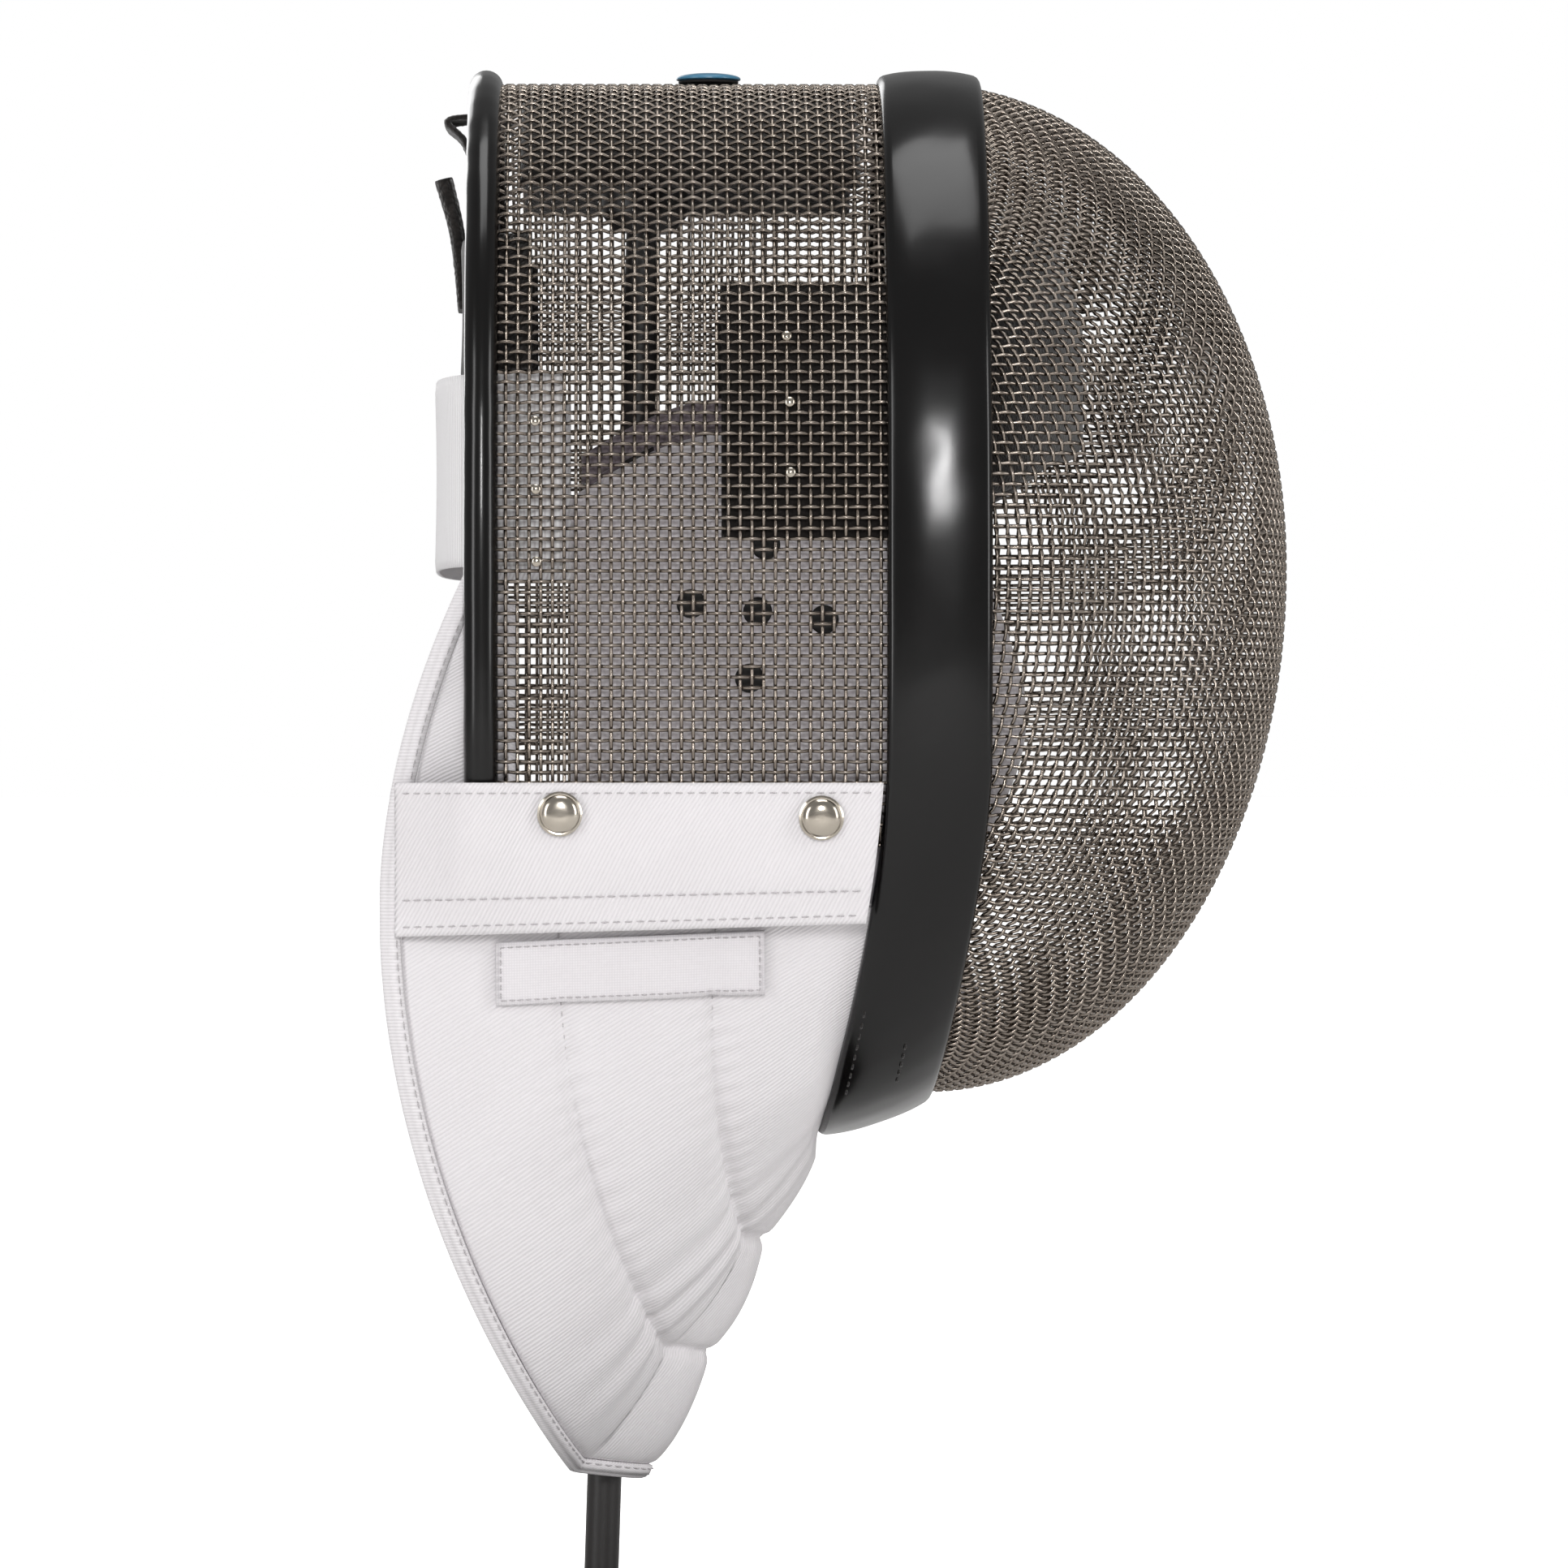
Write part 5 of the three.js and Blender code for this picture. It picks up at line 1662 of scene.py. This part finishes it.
def smooth_through(values: Array, t: Array) -> Array:
    """Returns a smooth curve through values at whole numbers of t."""
    padded = np.concatenate([[2 * values[0] - values[1]], values, [2 * values[-1] - values[-2]]])
    k = np.minimum(t.astype(int), len(values) - 2)
    f = t - k
    a, b, c, d = (padded[k + n] for n in range(4))
    return b + 0.5 * f * (c - a + f * (2 * a - 5 * b + 4 * c - d + f * (3 * (b - c) + d - a)))


# ---------------------------------------------------------------- hardware


@dataclass
class Hardware:
    """Snap caps, rivets and the crown button."""

    form: MaskForm
    bib: ThroatBib

    def snap_caps(self) -> None:
        """Builds the four domed snap caps on the side strips."""
        profile = [(0, 0), (5.3, 0), (5.9, 0.3), (5.9, 0.6), (5.4, 0.9), (5.1, 0.85), (4.9, 1.1), (4.3, 1.7),
                   (3.3, 2.15), (2.0, 2.38), (0.8, 2.42), (0, 2.42)]
        for side in Side:
            for where in ("rear", "front"):
                node = f"snap_cap_{where}_{side.name.lower()}"
                low, high = box_mm(node)
                x, z = (low[0] + high[0]) / 2, (low[2] + high[2]) / 2
                y = min(abs(low[1]), abs(high[1])) + 0.1
                up, down = (self.bib.flap_y(np.array([x]), np.array([z + k]))[0] for k in (1, -1))
                out = np.array([0, side.value, -(up - down) / 2 * 0.9])
                dress(turned(f"{node}_dome", profile, np.array([x, side.value * y, z]), out), NICKEL, node)

    def rivets(self) -> None:
        """Builds the small rivets that hold the elastic and the brow pad."""
        for side in Side:
            for kind in ("strap_rivet", "pad_rivet"):
                for i in (1, 2, 3):
                    node = f"{kind}_{side.name.lower()}_{i}"
                    low, high = box_mm(node)
                    middle = (low + high) / 2
                    middle[1] = side.value * min(abs(low[1]), abs(high[1]))
                    out = self.form.side_normal(middle[0], middle[2], side)
                    dress(turned(f"{node}_head", dome_profile(1.4, 1.0, 0.3), middle, out, 20), NICKEL, node)

    def crown_button(self) -> None:
        """Builds the blue button over its washer."""
        low, high = box_mm("crown_washer")
        at = np.array([(low[0] + high[0]) / 2, 0, low[2]])
        up = np.array([0, 0, 1.0])
        washer = [(0, 0), (8.1, 0), (8.25, 0.3), (8.1, 0.6), (0, 0.6)]
        dress(turned("crown_washer_ring", washer, at, up), BLACK_WASHER, "crown_washer")
        button_low, button_high = box_mm("crown_button")
        at = np.array([(button_low[0] + button_high[0]) / 2, 0, button_low[2]])
        dress(turned("crown_button_dome", dome_profile(8.8, 2.1, 0.6, 12), at, up, 64), BLUE_ABS, "crown_button")

    def build(self) -> None:
        """Makes and dresses the hardware."""
        self.snap_caps()
        self.rivets()
        self.crown_button()


@dataclass
class Stand:
    """The plain stand: a heavy disc, a slightly leaning pole and its cap."""

    lean: float = math.radians(1.8)
    pole_radius: float = 4.7
    base_radius: float = 88.0
    base_thick: float = 12.0
    foot_x: float = -0.9
    cap_height: float = 28.6

    def build(self) -> None:
        """Makes and dresses the stand."""
        up = np.array([0, 0, 1.0])
        r, h = self.base_radius, self.base_thick
        edge = [(r - 2, 0), (r - 0.6, 0.6), (r, 2), (r, h - 2), (r - 0.6, h - 0.6), (r - 2, h)]
        dress(turned("stand_base_disc", [(0, 0), *edge, (0, h)], np.zeros(3), up, 128, 60), STAND_PAINT,
              "stand_base")
        axis = np.array([math.sin(self.lean), 0, math.cos(self.lean)])
        foot = np.array([self.foot_x, 0, h + GAP])
        length = (box_mm("stand_cap")[0][2] - foot[2]) / math.cos(self.lean) - GAP
        pole = [(0, 0), (self.pole_radius, 0), (self.pole_radius, length), (0, length)]
        dress(turned("stand_pole_tube", pole, foot, axis, 48), STAND_PAINT, "stand_pole")
        top = self.cap_height
        cap = [(0, 0), (8, 0), (12, 5), (12, top - 6), (11, top - 3.6), (8.5, top - 1.5), (4, top - 0.2), (0, top)]
        dress(turned("stand_cap_head", cap, foot + axis * (length + GAP), axis, 48), STAND_PAINT, "stand_cap")


# ---------------------------------------------------------------- the studio


@dataclass
class Studio:
    """A pale floor, a white surround, soft boxes and the camera."""

    aim: tuple[float, float, float] = (49.6, 0.0, 244.67)
    azimuth: float = -1.0
    distance: float = 2400.0
    view_width: float = 429.3
    sensor: float = 36.0
    fill: float = 0.32  # light of the walls on the mask; the walls themselves are burnt out to white
    floor_size: float = 150.0  # metres, so that no edge of the paper shows

    def camera(self) -> None:
        """Places the camera level with the mask, square to its side."""
        turn = math.radians(self.azimuth)
        aim = Vector(self.aim) * MM
        place = aim + Vector((math.sin(turn), -math.cos(turn), 0)) * self.distance * MM
        data = bpy.data.cameras.new("camera")
        data.sensor_width = self.sensor
        data.lens = self.sensor * self.distance / self.view_width
        data.clip_start, data.clip_end = 0.05, 400
        made = bpy.data.objects.new("camera", data)
        bpy.context.scene.collection.objects.link(made)
        made.location = place
        made.rotation_euler = (aim - place).to_track_quat("-Z", "Y").to_euler()
        bpy.context.scene.camera = made

    def floor(self) -> None:
        """Lays the floor."""
        mesh = bpy.data.meshes.new("studio_floor")
        size = self.floor_size
        corners = [(-size, -size, 0), (size, -size, 0), (size, size, 0), (-size, size, 0)]
        mesh.from_pydata(corners, [], [(0, 1, 2, 3)])
        paper = STUDIO_PAPER.make()
        tree = paper.node_tree
        shader = tree.nodes["Principled BSDF"]
        seen = add_node(tree, "ShaderNodeLightPath")
        shader.inputs["Emission Color"].default_value = linear("#ffffff")
        tree.links.new(seen.outputs["Is Camera Ray"], shader.inputs["Emission Strength"])
        mesh.materials.append(paper)
        made = bpy.data.objects.new("studio_floor", mesh)
        bpy.context.scene.collection.objects.link(made)

    def soft_box(self, name: str, at: Iterable[float], size: tuple[float, float], power: float) -> None:
        """Adds an area light that faces the mask.

        Args:
            name: Name of the light.
            at: Place, in metres.
            size: Width and height, in metres.
            power: Watts.
        """
        data = bpy.data.lights.new(name, "AREA")
        data.shape = "RECTANGLE"
        data.size, data.size_y = size
        data.energy = power
        made = bpy.data.objects.new(name, data)
        bpy.context.scene.collection.objects.link(made)
        made.location = Vector(at)
        made.rotation_euler = (Vector(self.aim) * MM - made.location).to_track_quat("-Z", "Y").to_euler()

    def surround(self) -> None:
        """Sets an even white room."""
        world = bpy.data.worlds.new("white_room")
        bpy.context.scene.world = world
        world.use_nodes = True
        tree = world.node_tree
        seen = add_node(tree, "ShaderNodeLightPath")
        strength = add_node(tree, "ShaderNodeMapRange", {}, {
            "Value": (seen, "Is Camera Ray"), "To Min": self.fill, "To Max": 1.0})
        background = tree.nodes["Background"]
        background.inputs["Color"].default_value = (1, 1, 1, 1)
        tree.links.new(strength.outputs["Result"], background.inputs["Strength"])
        bpy.context.scene.view_settings.view_transform = "Standard"

    def build(self) -> None:
        """Sets up the studio."""
        self.camera()
        self.floor()
        self.surround()
        self.soft_box("key_box", (0.1, -2.2, 0.9), (0.16, 0.5), 18)
        self.soft_box("left_box", (-1.7, -1.4, 0.7), (0.5, 1.6), 15)
        self.soft_box("front_box", (2.0, -1.0, 0.8), (0.5, 1.4), 13)
        self.soft_box("top_box", (0.1, -0.2, 2.0), (1.0, 1.0), 12)
        self.soft_box("rear_box", (-0.8, 2.1, 0.9), (1.0, 1.4), 12)


def main() -> None:
    """Loads the frame, builds every piece in order and finishes."""
    logging.basicConfig(level=logging.INFO, format="%(message)s")
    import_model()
    form = MaskForm.from_frame()
    bib = ThroatBib(form)
    for assembly in (Studio(), WireCloth(form), VinylTrim(form), HeadPadding(form), bib, RearStraps(form),
                     Hardware(form, bib), Stand()):
        assembly.build()


if __name__ == "__main__":
    main()
